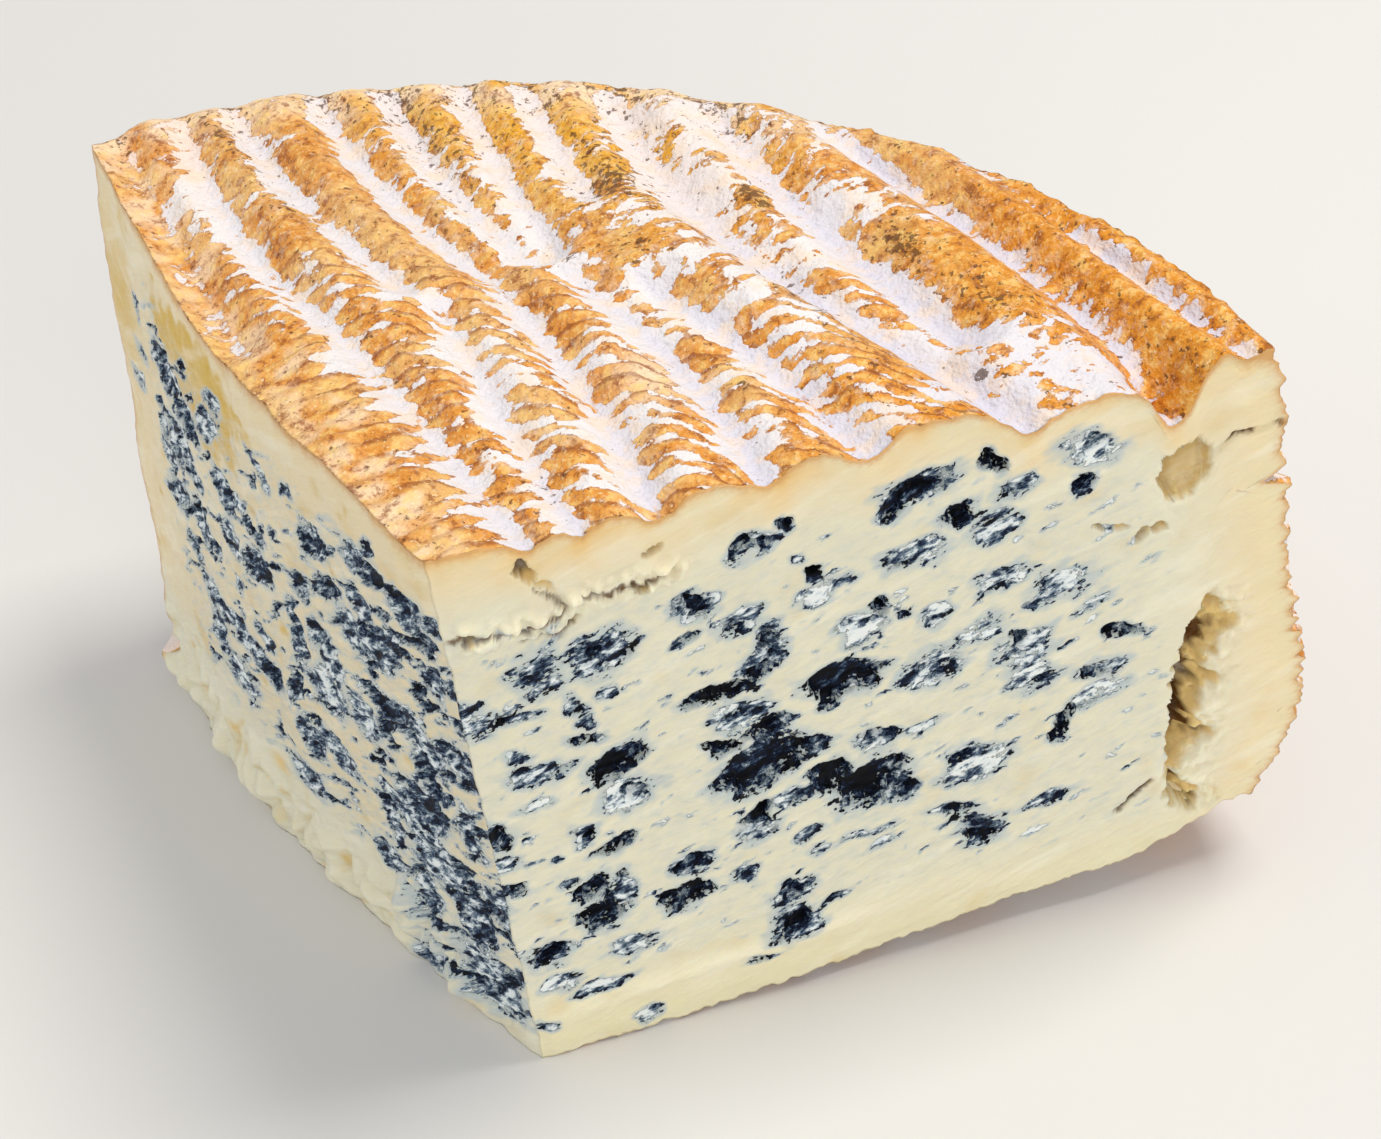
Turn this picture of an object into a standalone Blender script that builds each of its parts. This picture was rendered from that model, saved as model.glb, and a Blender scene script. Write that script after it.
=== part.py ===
"""Blue cheese wedge: one cut from a 20 cm wheel, standing on its flat side with the ridged rind up.

The whole wedge is one solid. Its shape is worked out in millimetres in plan coordinates, with the
tip of the wedge at (0, 0) and +Y running from the tip to the rim. At the end it is centred, so that
the origin is the bottom centre of its bounding box, and scaled to metres.

The surface is a box-like grid: a top and a base, each with four edges (left cut, right cut and two
halves of the rim), joined by side walls with the same number of rows.
"""

import math

import bmesh
import bpy
import numpy as np

MM = 0.001

# ---- The wheel and the cut ------------------------------------------------------------------
WHEEL_RADIUS = 101.8
WHEEL_AXIS = np.array([-7.4, -21.9])
CUT_ANGLE = math.radians(51.9)  # each cut face leaves the tip at this angle to +Y
LEFT_CUT = 88.0
RIGHT_CUT = 81.5
HEIGHT = 72.2  # to the crests of the rind's ridges, away from its swells
CORNER_BLEND = 8  # how fast the rim leaves its corners for the wheel's own circle

# ---- The left cut face bows out a little at the top and leans out towards the base -----------------
LEFT_BOW = 2.4
LEFT_FLARE = 10.8
FLARE_FULL_AT = 66.0
FLARE_SHAPE = 1.1

# ---- The rim's profile: (share of the height, how far it stands out) at each cut face ----------
RIM_PROFILE_RIGHT = [
    (0.0, 0.6),
    (0.10, 3.4),
    (0.22, 5.8),
    (0.34, 5.2),
    (0.45, 3.6),
    (0.65, 2.4),
    (0.85, 1.6),
    (1.0, 0.0),
]
RIM_PROFILE_LEFT = [
    (0.0, -8.6),
    (0.10, -7.2),
    (0.28, -5.0),
    (0.50, -2.6),
    (0.80, -0.6),
    (1.0, 0.0),
]
RIM_ROUND = 4.0  # how far in from the rim its top edge starts to round over
RIM_ROUND_DROP = 1.6

# ---- The base: flat, and lifted towards the rim and along the right cut ------------------------
RIM_LIFT_LEFT = 3.0
RIM_LIFT_RIGHT = 4.0
RIM_LIFT_WIDTH = 14.0
RIGHT_LIFT = 5.0
RIGHT_LIFT_WIDTH = 13.0

# ---- The rind's troughs -------------------------------------------------------------------------
# Each runs from the back left to the front right:
# (start, end, how far its middle bows towards the rim, depth, half width)
TROUGHS = [
    ((-71.5, 60.3), (-34, 27), 0.0, 2.2, 2.6),
    ((-64, 64.2), (-27, 32), -2.2, 2.2, 2.3),
    ((-27, 32), (10, 3.8), 0.4, 1.8, 2.2),
    ((-60, 68), (-20, 37.5), -1.7, 2.3, 2.3),
    ((-17, 37.5), (14, 6.5), -0.7, 1.6, 2.1),
    ((-51.7, 73.5), (-14, 43), -2.2, 2.6, 2.5),
    ((-14, 43), (19.5, 10.5), 1.4, 2.2, 2.3),
    ((-43.7, 76.5), (-9, 46), -2.4, 2.6, 2.4),
    ((-6, 45), (27, 17), 2.2, 1.7, 2.2),
    ((-35.4, 78.7), (-8, 48), -1.0, 2.3, 2.3),
    ((2, 45), (36, 22.8), 1.2, 2.3, 2.6),
    ((-28.5, 80.6), (-8, 57), -0.5, 2.0, 2.3),
    ((-17.5, 81.6), (16, 49), -2.6, 3.4, 3.4),
    ((15, 49), (48, 33.2), 0.5, 3.0, 2.4),
    ((-7.8, 82.5), (37, 44), -2.0, 2.8, 3.0),
    ((6, 81), (61, 41), 0.6, 4.2, 3.0),
    ((52, 47.5), (62, 40), 0.0, 3.0, 3.2),
    ((25, 75.6), (64, 47.8), 0.4, 3.2, 1.7),
]
TROUGH_FADE = 6.0  # a trough dies away over this length at each end
RIM_LIP = 5.0  # troughs are shallower within this distance of the rim
RIM_LIP_SHARE = 0.25  # and keep this share of their depth at the rim itself

# ---- Broad swells and dips of the top -------------------------------------------------------------
# (centre, length along the ridges, width across them, height)
SWELLS = [
    ((12, 46), 20.0, 7.5, 2.2),
    ((30, 33), 12.0, 6.0, 0.6),
    ((-33, 46), 16.0, 6.0, 1.0),
    ((33, 58), 16.0, 5.0, 0.8),
    ((-42, 29), 24.0, 8.0, -3.4),
    ((49, 39.5), 9.0, 6.5, -2.2),
]
RIDGE_DIRECTION = math.radians(-42)

# ---- Openings in the right cut face ----------------------------------------------------------------
# Mould pockets and holes: (along the cut, height, length, width, depth, tilt in degrees)
POCKETS = [
    (46.0, 65.0, 8.0, 4.6, 1.8, 10),
    (63.5, 64.3, 6.0, 3.6, 1.6, 15),
    (73.0, 58.0, 5.6, 6.4, 3.6, 60),
    (14.5, 56.5, 7.0, 6.0, 1.8, 20),
    (25.0, 47.5, 9.0, 3.0, 1.8, 25),
    (38.0, 44.0, 8.0, 5.0, 2.2, 15),
    (27.0, 36.0, 11.0, 7.0, 2.6, 20),
    (39.0, 28.0, 8.0, 7.0, 2.6, 50),
    (50.0, 28.0, 8.0, 5.0, 1.8, 15),
    (10.0, 22.0, 5.0, 8.0, 2.2, 10),
    (30.0, 13.0, 6.0, 8.0, 1.8, -10),
]
# The long crevice: (along the cut, height, width) from its top end to its lower end
CREVICE = [
    (76.2, 42.0, 1.6),
    (74.8, 37.0, 4.0),
    (73.2, 32.5, 3.0),
    (73.4, 27.5, 4.2),
    (71.8, 23.0, 3.2),
    (72.6, 19.5, 3.6),
    (70.2, 16.5, 3.0),
    (72.6, 11.5, 1.4),
]
CREVICE_DEPTH = 5.0
# The crack that runs from the right cut face round the rim: (along the cut, height)
RIM_NOTCH_AT = (83.6, 53.4)
RIM_NOTCH_LENGTH = 16.0
RIM_NOTCH_WIDTH = 1.6
RIM_NOTCH_DEPTH = 3.0

# ---- The grid ------------------------------------------------------------------------------------------
ALONG_RIDGES = 26  # cells along the left cut, and along the right half of the rim
ACROSS_RIDGES = 46  # cells along the right cut, and along the left half of the rim
ROWS = 18
CREVICE_SIDES = 8

LEFT_DIRECTION = np.array([-math.sin(CUT_ANGLE), math.cos(CUT_ANGLE)])
RIGHT_DIRECTION = np.array([math.sin(CUT_ANGLE), math.cos(CUT_ANGLE)])
LEFT_OUTWARD = np.array([-math.cos(CUT_ANGLE), -math.sin(CUT_ANGLE)])
RIGHT_OUTWARD = np.array([math.cos(CUT_ANGLE), -math.sin(CUT_ANGLE)])


def smoothstep(x):
    x = np.clip(x, 0.0, 1.0)
    return x * x * (3.0 - 2.0 * x)


def profile_at(profile, share):
    shares, offsets = zip(*profile)
    return np.interp(share, shares, offsets)


# ---- The outline at one height ----------------------------------------------------------------------


def left_edge(u, share):
    """Points from the tip (u = 0) to the left end (u = 1) at this share of the height."""
    along = u * (LEFT_CUT + profile_at(RIM_PROFILE_LEFT, share))
    flare = LEFT_FLARE * np.sin(np.clip(along / FLARE_FULL_AT, 0, 1) * math.pi / 2) ** FLARE_SHAPE
    bow = LEFT_BOW * np.sin(u * math.pi)
    out = flare * (1 - share) + bow * share
    return along[:, None] * LEFT_DIRECTION + out[:, None] * LEFT_OUTWARD


def right_edge(u, share):
    """Points from the tip (u = 0) to the right end (u = 1) at this share of the height."""
    along = u * (RIGHT_CUT + profile_at(RIM_PROFILE_RIGHT, share))
    return along[:, None] * RIGHT_DIRECTION


def rim(t, share):
    """Points on the rim from the left end (t = 0) to the right end (t = 1)."""
    one = np.ones(1)
    ends = [left_edge(one, share)[0] - WHEEL_AXIS, right_edge(one, share)[0] - WHEEL_AXIS]
    angles = [math.atan2(end[1], end[0]) for end in ends]
    reach = [np.hypot(*end) for end in ends]
    stand_out = (1 - t) * profile_at(RIM_PROFILE_LEFT, share)
    stand_out = stand_out + t * profile_at(RIM_PROFILE_RIGHT, share)
    radius = WHEEL_RADIUS + stand_out
    radius = radius + (reach[0] - radius) * (1 - t) ** CORNER_BLEND
    radius = radius + (reach[1] - radius) * t**CORNER_BLEND
    angle = angles[0] + (angles[1] - angles[0]) * t
    return WHEEL_AXIS + radius[:, None] * np.stack([np.cos(angle), np.sin(angle)], axis=1)


# ---- Top and base heights ---------------------------------------------------------------------------


def trough_depth(x, y, trough):
    """How deep one trough is at each point: a soft groove along a slightly bowed line."""
    start, end, bow, depth, half_width = trough
    run = np.subtract(end, start)
    length = np.hypot(*run)
    forward = run / length
    sideways = np.array([-forward[1], forward[0]])
    along = (x - start[0]) * forward[0] + (y - start[1]) * forward[1]
    across = (x - start[0]) * sideways[0] + (y - start[1]) * sideways[1]
    share = np.clip(along / length, 0, 1)
    off_line = across - bow * 4 * share * (1 - share)
    ends = smoothstep(along / TROUGH_FADE + 0.5)
    ends = ends * smoothstep((length - along) / TROUGH_FADE + 0.5)
    return depth * ends * np.exp(-((off_line / half_width) ** 2))


def swell_height(x, y, swell):
    centre, length, width, height = swell
    across_x, across_y = x - centre[0], y - centre[1]
    along = across_x * math.cos(RIDGE_DIRECTION) + across_y * math.sin(RIDGE_DIRECTION)
    across = across_y * math.cos(RIDGE_DIRECTION) - across_x * math.sin(RIDGE_DIRECTION)
    return height * np.exp(-((along / length) ** 2) - (across / width) ** 2)


def inside_rim(x, y):
    """Distance in from the wheel's own circle."""
    return WHEEL_RADIUS - np.hypot(x - WHEEL_AXIS[0], y - WHEEL_AXIS[1])


def top_height(x, y):
    z = HEIGHT + sum(swell_height(x, y, swell) for swell in SWELLS)
    lip = RIM_LIP_SHARE + (1 - RIM_LIP_SHARE) * smoothstep(inside_rim(x, y) / RIM_LIP)
    z = z - lip * sum(trough_depth(x, y, trough) for trough in TROUGHS)
    rounding = np.clip(1 - inside_rim(x, y) / RIM_ROUND, 0, 1)
    return z - RIM_ROUND_DROP * rounding**2


def base_height(x, y):
    bearing = smoothstep((x - LEFT_CUT * LEFT_DIRECTION[0]) / (RIGHT_CUT + LEFT_CUT))
    rim_lift = RIM_LIFT_LEFT + (RIM_LIFT_RIGHT - RIM_LIFT_LEFT) * bearing
    near_rim = smoothstep(1 - inside_rim(x, y) / RIM_LIFT_WIDTH)
    along = x * RIGHT_DIRECTION[0] + y * RIGHT_DIRECTION[1]
    from_right = -(x * RIGHT_OUTWARD[0] + y * RIGHT_OUTWARD[1])
    near_right = smoothstep(1 - from_right / RIGHT_LIFT_WIDTH)
    return rim_lift * near_rim + RIGHT_LIFT * near_right * smoothstep((along - 8) / 72)


# ---- The grids --------------------------------------------------------------------------------------


def filled_patch(share):
    """A four-sided patch inside the outline at one height: rows follow the left cut."""
    a = np.linspace(0, 1, ALONG_RIDGES + 1)
    b = np.linspace(0, 1, ACROSS_RIDGES + 1)
    left, right = left_edge(a, share), right_edge(b, share)
    rim_right = rim(1 - 0.5 * a, share)
    rim_left = rim(0.5 * b, share)
    corners = left[0], left[-1], right[-1], rim_left[-1]
    a, b = a[:, None, None], b[None, :, None]
    blend_b = (1 - b) * left[:, None] + b * rim_right[:, None]
    blend_a = (1 - a) * right[None] + a * rim_left[None]
    flat = (1 - a) * (1 - b) * corners[0] + a * (1 - b) * corners[1]
    flat = flat + (1 - a) * b * corners[2] + a * b * corners[3]
    return blend_a + blend_b - flat


def outline_loop(patch):
    """The patch's border, from the tip along the right cut, round the rim and back along the left."""
    right, rim_right = patch[0, :-1], patch[:-1, -1]
    rim_left, left = patch[-1, :0:-1], patch[:0:-1, 0]
    return np.concatenate([right, rim_right, rim_left, left])


def wall_rows():
    """The side walls' points, from just above the base to just under the top."""
    levels = np.linspace(0, 1, ROWS + 1)
    top_loop = outline_loop(filled_patch(1.0))
    base_loop = outline_loop(filled_patch(0.0))
    high = top_height(top_loop[:, 0], top_loop[:, 1])
    low = base_height(base_loop[:, 0], base_loop[:, 1])
    rows = []
    for share in levels[1:-1]:
        plan = outline_loop(filled_patch(share))
        rows.append(np.column_stack([plan, low + share * (high - low)]))
    return rows


def add_grid(mesh, points, flip):
    """Adds a patch of points as quads and returns its vertices as rows."""
    rows = [[mesh.verts.new(point) for point in row] for row in points]
    for i in range(len(rows) - 1):
        for j in range(len(rows[0]) - 1):
            quad = [rows[i][j], rows[i][j + 1], rows[i + 1][j + 1], rows[i + 1][j]]
            mesh.faces.new(quad if flip else quad[::-1])
    return rows


def border_vertices(rows):
    right, rim_right = rows[0][:-1], [row[-1] for row in rows[:-1]]
    rim_left, left = rows[-1][:0:-1], [row[0] for row in rows[:0:-1]]
    return right + rim_right + rim_left + left


def wedge_mesh():
    mesh = bmesh.new()
    top_plan, base_plan = filled_patch(1.0), filled_patch(0.0)
    top = np.dstack([top_plan, top_height(top_plan[..., 0], top_plan[..., 1])])
    base = np.dstack([base_plan, base_height(base_plan[..., 0], base_plan[..., 1])])
    top_rows = add_grid(mesh, top, flip=False)
    base_rows = add_grid(mesh, base, flip=True)
    loops = [border_vertices(base_rows)]
    for row in wall_rows():
        loops.append([mesh.verts.new(point) for point in row])
    loops.append(border_vertices(top_rows))
    right_count, rim_count = ACROSS_RIDGES, ACROSS_RIDGES + ALONG_RIDGES
    count = len(loops[0])
    for lower, upper in zip(loops, loops[1:]):
        for i in range(count):
            j = (i + 1) % count
            face = mesh.faces.new([lower[i], lower[j], upper[j], upper[i]])
            on_cut = i < right_count or i >= right_count + rim_count
            face.material_index = 1 if on_cut else 0
    return mesh


def dissolve_flat_base(mesh):
    """Joins the base's faces that lie exactly on the ground, then splits the result into triangles."""
    flat = [face for face in mesh.faces if all(vert.co.z == 0 for vert in face.verts)]
    inner = {vert for face in flat for vert in face.verts}
    inner = [vert for vert in inner if all(face in flat for face in vert.link_faces)]
    bmesh.ops.dissolve_verts(mesh, verts=inner)
    bmesh.ops.triangulate(mesh, faces=mesh.faces[:])


# ---- Cutters -----------------------------------------------------------------------------------------


def on_right_cut(along, height, outwards=0.0):
    """A point given along the right cut face, up it and out of it."""
    plan = along * RIGHT_DIRECTION + outwards * RIGHT_OUTWARD
    return np.array([plan[0], plan[1], height])


def pocket_cutter(mesh, pocket):
    """A flattened ball whose middle lies just outside the cut face."""
    along, height, length, width, depth, tilt = pocket
    tilt = math.radians(tilt)
    lift = 0.25 * depth
    widen = 1 / math.sqrt(1 - (lift / (depth + lift)) ** 2)
    ball = bmesh.ops.create_icosphere(mesh, subdivisions=2, radius=1.0)
    for vert in ball["verts"]:
        unit = vert.co.copy()
        x, y = unit.x * widen * length / 2, unit.y * widen * width / 2
        over = along + x * math.cos(tilt) - y * math.sin(tilt)
        up = height + x * math.sin(tilt) + y * math.cos(tilt)
        vert.co = on_right_cut(over, up, lift + unit.z * (depth + lift))


def crevice_cutter(mesh):
    """A closed tube along the crevice's line, as wide as the crevice and twice as deep."""
    rings = []
    for along, height, width in CREVICE:
        ring = []
        for k in range(CREVICE_SIDES):
            angle = 2 * math.pi * k / CREVICE_SIDES
            over = along + 0.5 * width * math.cos(angle)
            depth = CREVICE_DEPTH * min(1.0, width / 3.0)
            ring.append(mesh.verts.new(on_right_cut(over, height, depth * math.sin(angle))))
        rings.append(ring)
    for upper, lower in zip(rings, rings[1:]):
        for k in range(CREVICE_SIDES):
            n = (k + 1) % CREVICE_SIDES
            mesh.faces.new([upper[k], upper[n], lower[n], lower[k]])
    mesh.faces.new(rings[0][::-1])
    mesh.faces.new(rings[-1])


def notch_cutter(mesh):
    """A thin flat ball set into the rim where it meets the right cut face."""
    ball = bmesh.ops.create_icosphere(mesh, subdivisions=2, radius=1.0)
    middle = on_right_cut(*RIM_NOTCH_AT)
    for vert in ball["verts"]:
        along = RIM_NOTCH_DEPTH * vert.co.x * RIGHT_DIRECTION
        around = RIM_NOTCH_LENGTH / 2 * vert.co.y * RIGHT_OUTWARD
        rise = RIM_NOTCH_WIDTH / 2 * vert.co.z
        vert.co = middle + np.array([*(along + around), rise])


def add_object(name, mesh, materials, offset):
    for vert in mesh.verts:
        vert.co = (np.array(vert.co) + offset) * MM
    mesh.normal_update()
    bmesh.ops.recalc_face_normals(mesh, faces=mesh.faces[:])
    data = bpy.data.meshes.new(name)
    mesh.to_mesh(data)
    mesh.free()
    for material in materials:
        data.materials.append(material)
    piece = bpy.data.objects.new(name, data)
    bpy.context.scene.collection.objects.link(piece)
    return piece


def cut_with(piece, cutter):
    cutter.hide_render = True
    cutter.display_type = "WIRE"
    modifier = piece.modifiers.new(cutter.name, "BOOLEAN")
    modifier.operation = "DIFFERENCE"
    modifier.solver = "EXACT"
    modifier.object = cutter


# ---- Materials ----------------------------------------------------------------------------------------


def principled(name, colour, roughness, subsurface):
    material = bpy.data.materials.new(name)
    material.use_nodes = True
    shader = material.node_tree.nodes["Principled BSDF"]
    shader.inputs["Base Color"].default_value = (*colour, 1.0)
    shader.inputs["Roughness"].default_value = roughness
    shader.inputs["Metallic"].default_value = 0.0
    shader.inputs["Subsurface Weight"].default_value = subsurface
    shader.inputs["Subsurface Radius"].default_value = (2 * MM, 1.4 * MM, 0.8 * MM)
    return material


def clear_scene():
    for piece in list(bpy.data.objects):
        bpy.data.objects.remove(piece, do_unlink=True)


def main():
    clear_scene()
    rind = principled("rind", (0.62, 0.36, 0.13), 0.55, 0.1)
    paste = principled("paste", (0.80, 0.70, 0.44), 0.45, 0.3)
    mould = principled("mould", (0.08, 0.11, 0.16), 0.6, 0.0)

    wedge = wedge_mesh()
    dissolve_flat_base(wedge)
    corners = np.array([vert.co for vert in wedge.verts])
    low, high = corners.min(axis=0), corners.max(axis=0)
    centring = -np.array([(low[0] + high[0]) / 2, (low[1] + high[1]) / 2, low[2]])
    cheese = add_object("cheese_wedge", wedge, [rind, paste, mould], centring)

    pockets = bmesh.new()
    for pocket in POCKETS:
        pocket_cutter(pockets, pocket)
    cut_with(cheese, add_object("pocket_cutters", pockets, [mould], centring))

    crevice = bmesh.new()
    crevice_cutter(crevice)
    cut_with(cheese, add_object("crevice_cutter", crevice, [paste], centring))

    notch = bmesh.new()
    notch_cutter(notch)
    cut_with(cheese, add_object("notch_cutter", notch, [paste], centring))


main()
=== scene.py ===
"""Blue cheese wedge, dressed: a ridged orange rind with white bloom, and two cut faces of cream paste
with blue mould in pockets and streaks.

The pieces are fine sheets that together cover the CAD wedge: the top rind, the two cut faces, the rim
in two halves and the base. Each is closed by plain faces that meet in the middle of the wedge, so every
piece is a solid of its own, and neighbours share their borders exactly.

Shapes are worked out in millimetres in plan coordinates, with the tip of the wedge at (0, 0), +Y running
from the tip to the rim and the ground at z = 0, and are moved into the frame at the end.
"""

import math

import bpy
import numpy as np
from mathutils import Matrix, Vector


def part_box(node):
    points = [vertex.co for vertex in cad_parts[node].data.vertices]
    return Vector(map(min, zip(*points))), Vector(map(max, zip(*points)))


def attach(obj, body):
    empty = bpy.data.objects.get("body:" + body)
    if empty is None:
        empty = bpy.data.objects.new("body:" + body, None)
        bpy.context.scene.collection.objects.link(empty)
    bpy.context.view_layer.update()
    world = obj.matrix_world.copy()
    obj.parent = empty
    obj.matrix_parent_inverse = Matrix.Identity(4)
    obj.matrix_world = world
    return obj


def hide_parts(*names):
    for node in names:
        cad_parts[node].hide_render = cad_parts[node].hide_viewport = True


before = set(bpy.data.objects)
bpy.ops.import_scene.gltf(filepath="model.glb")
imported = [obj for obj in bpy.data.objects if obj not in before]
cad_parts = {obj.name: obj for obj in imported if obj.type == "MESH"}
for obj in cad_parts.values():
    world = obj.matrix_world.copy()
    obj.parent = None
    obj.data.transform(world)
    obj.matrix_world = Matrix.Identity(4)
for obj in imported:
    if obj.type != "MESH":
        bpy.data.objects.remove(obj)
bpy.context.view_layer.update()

NODE = "cheese_wedge"
BODY = "root"
MM = 0.001

# ---- The wheel and the cut, as in the solid -----------------------------------------------------
WHEEL_RADIUS = 101.8
WHEEL_AXIS = np.array([-7.4, -21.9])
CUT_ANGLE = math.radians(51.9)
LEFT_CUT = 88.0
RIGHT_CUT = 81.5
HEIGHT = 72.2
CORNER_BLEND = 8
LEFT_BOW = 2.4
LEFT_FLARE = 10.8
FLARE_FULL_AT = 66.0
FLARE_SHAPE = 1.1
RIM_PROFILE_RIGHT = [
    (0.0, 0.6),
    (0.10, 3.4),
    (0.22, 5.8),
    (0.34, 5.2),
    (0.45, 3.6),
    (0.65, 2.4),
    (0.85, 1.6),
    (1.0, 0.0),
]
RIM_PROFILE_LEFT = [
    (0.0, -8.6),
    (0.10, -7.2),
    (0.28, -5.0),
    (0.50, -2.6),
    (0.80, -0.6),
    (1.0, 0.0),
]
RIM_ROUND = 4.0
RIM_ROUND_DROP = 1.6
RIM_LIFT_LEFT = 3.0
RIM_LIFT_RIGHT = 4.0
RIM_LIFT_WIDTH = 14.0
RIGHT_LIFT = 5.0
RIGHT_LIFT_WIDTH = 13.0

# (start, end, how far its middle bows towards the rim, depth, half width)
TROUGHS = [
    ((-71.5, 60.3), (-34, 27), 0.0, 2.2, 2.6),
    ((-64, 64.2), (-27, 32), -2.2, 2.2, 2.3),
    ((-27, 32), (10, 3.8), 0.4, 1.8, 2.2),
    ((-60, 68), (-20, 37.5), -1.7, 2.3, 2.3),
    ((-17, 37.5), (14, 6.5), -0.7, 1.6, 2.1),
    ((-51.7, 73.5), (-14, 43), -2.2, 2.6, 2.5),
    ((-14, 43), (19.5, 10.5), 1.4, 2.2, 2.3),
    ((-43.7, 76.5), (-9, 46), -2.4, 2.6, 2.4),
    ((-6, 45), (27, 17), 2.2, 1.7, 2.2),
    ((-35.4, 78.7), (-8, 48), -1.0, 2.3, 2.3),
    ((2, 45), (36, 22.8), 1.2, 2.3, 2.6),
    ((-28.5, 80.6), (-8, 57), -0.5, 2.0, 2.3),
    ((-17.5, 81.6), (16, 49), -2.6, 3.4, 3.4),
    ((15, 49), (48, 33.2), 0.5, 3.0, 2.4),
    ((-7.8, 82.5), (37, 44), -2.0, 2.8, 3.0),
    ((6, 81), (61, 41), 0.6, 4.2, 3.0),
    ((52, 47.5), (62, 40), 0.0, 3.0, 3.2),
    ((25, 75.6), (64, 47.8), 0.4, 3.2, 1.7),
]
TROUGH_FADE = 6.0
RIM_LIP = 5.0
RIM_LIP_SHARE = 0.25
# (centre, length along the ridges, width across them, height)
SWELLS = [
    ((12, 46), 20.0, 7.5, 2.2),
    ((30, 33), 12.0, 6.0, 0.6),
    ((-33, 46), 16.0, 6.0, 1.0),
    ((33, 58), 16.0, 5.0, 0.8),
    ((-42, 29), 24.0, 8.0, -3.4),
    ((49, 39.5), 9.0, 6.5, -2.2),
]
RIDGE_DIRECTION = math.radians(-42)

# ---- Fine shape -----------------------------------------------------------------------------------
CUT_WOBBLE = 0.30
TIP_WEAR = 0.35
KNOB_HEIGHT = 1.5
KNOBS_BELOW = 13.0
RIM_ROUGHNESS = 0.75
RIM_BEADS = 1.2
NOTCH_SHARE = 0.735
NOTCH_SPREAD = 0.012
NOTCH_DEPTH = 2.6
NOTCH_REACH = 0.07
STRIPE_PERIOD = 2.7
STRIPE_RELIEF = 0.13
STRIPE_START_SLOPE = 0.1
STRIPE_CURVE = 0.085
RIDGE_ACROSS_MOST = 9.0
TROUGH_OVERRUN = 8.0

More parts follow.
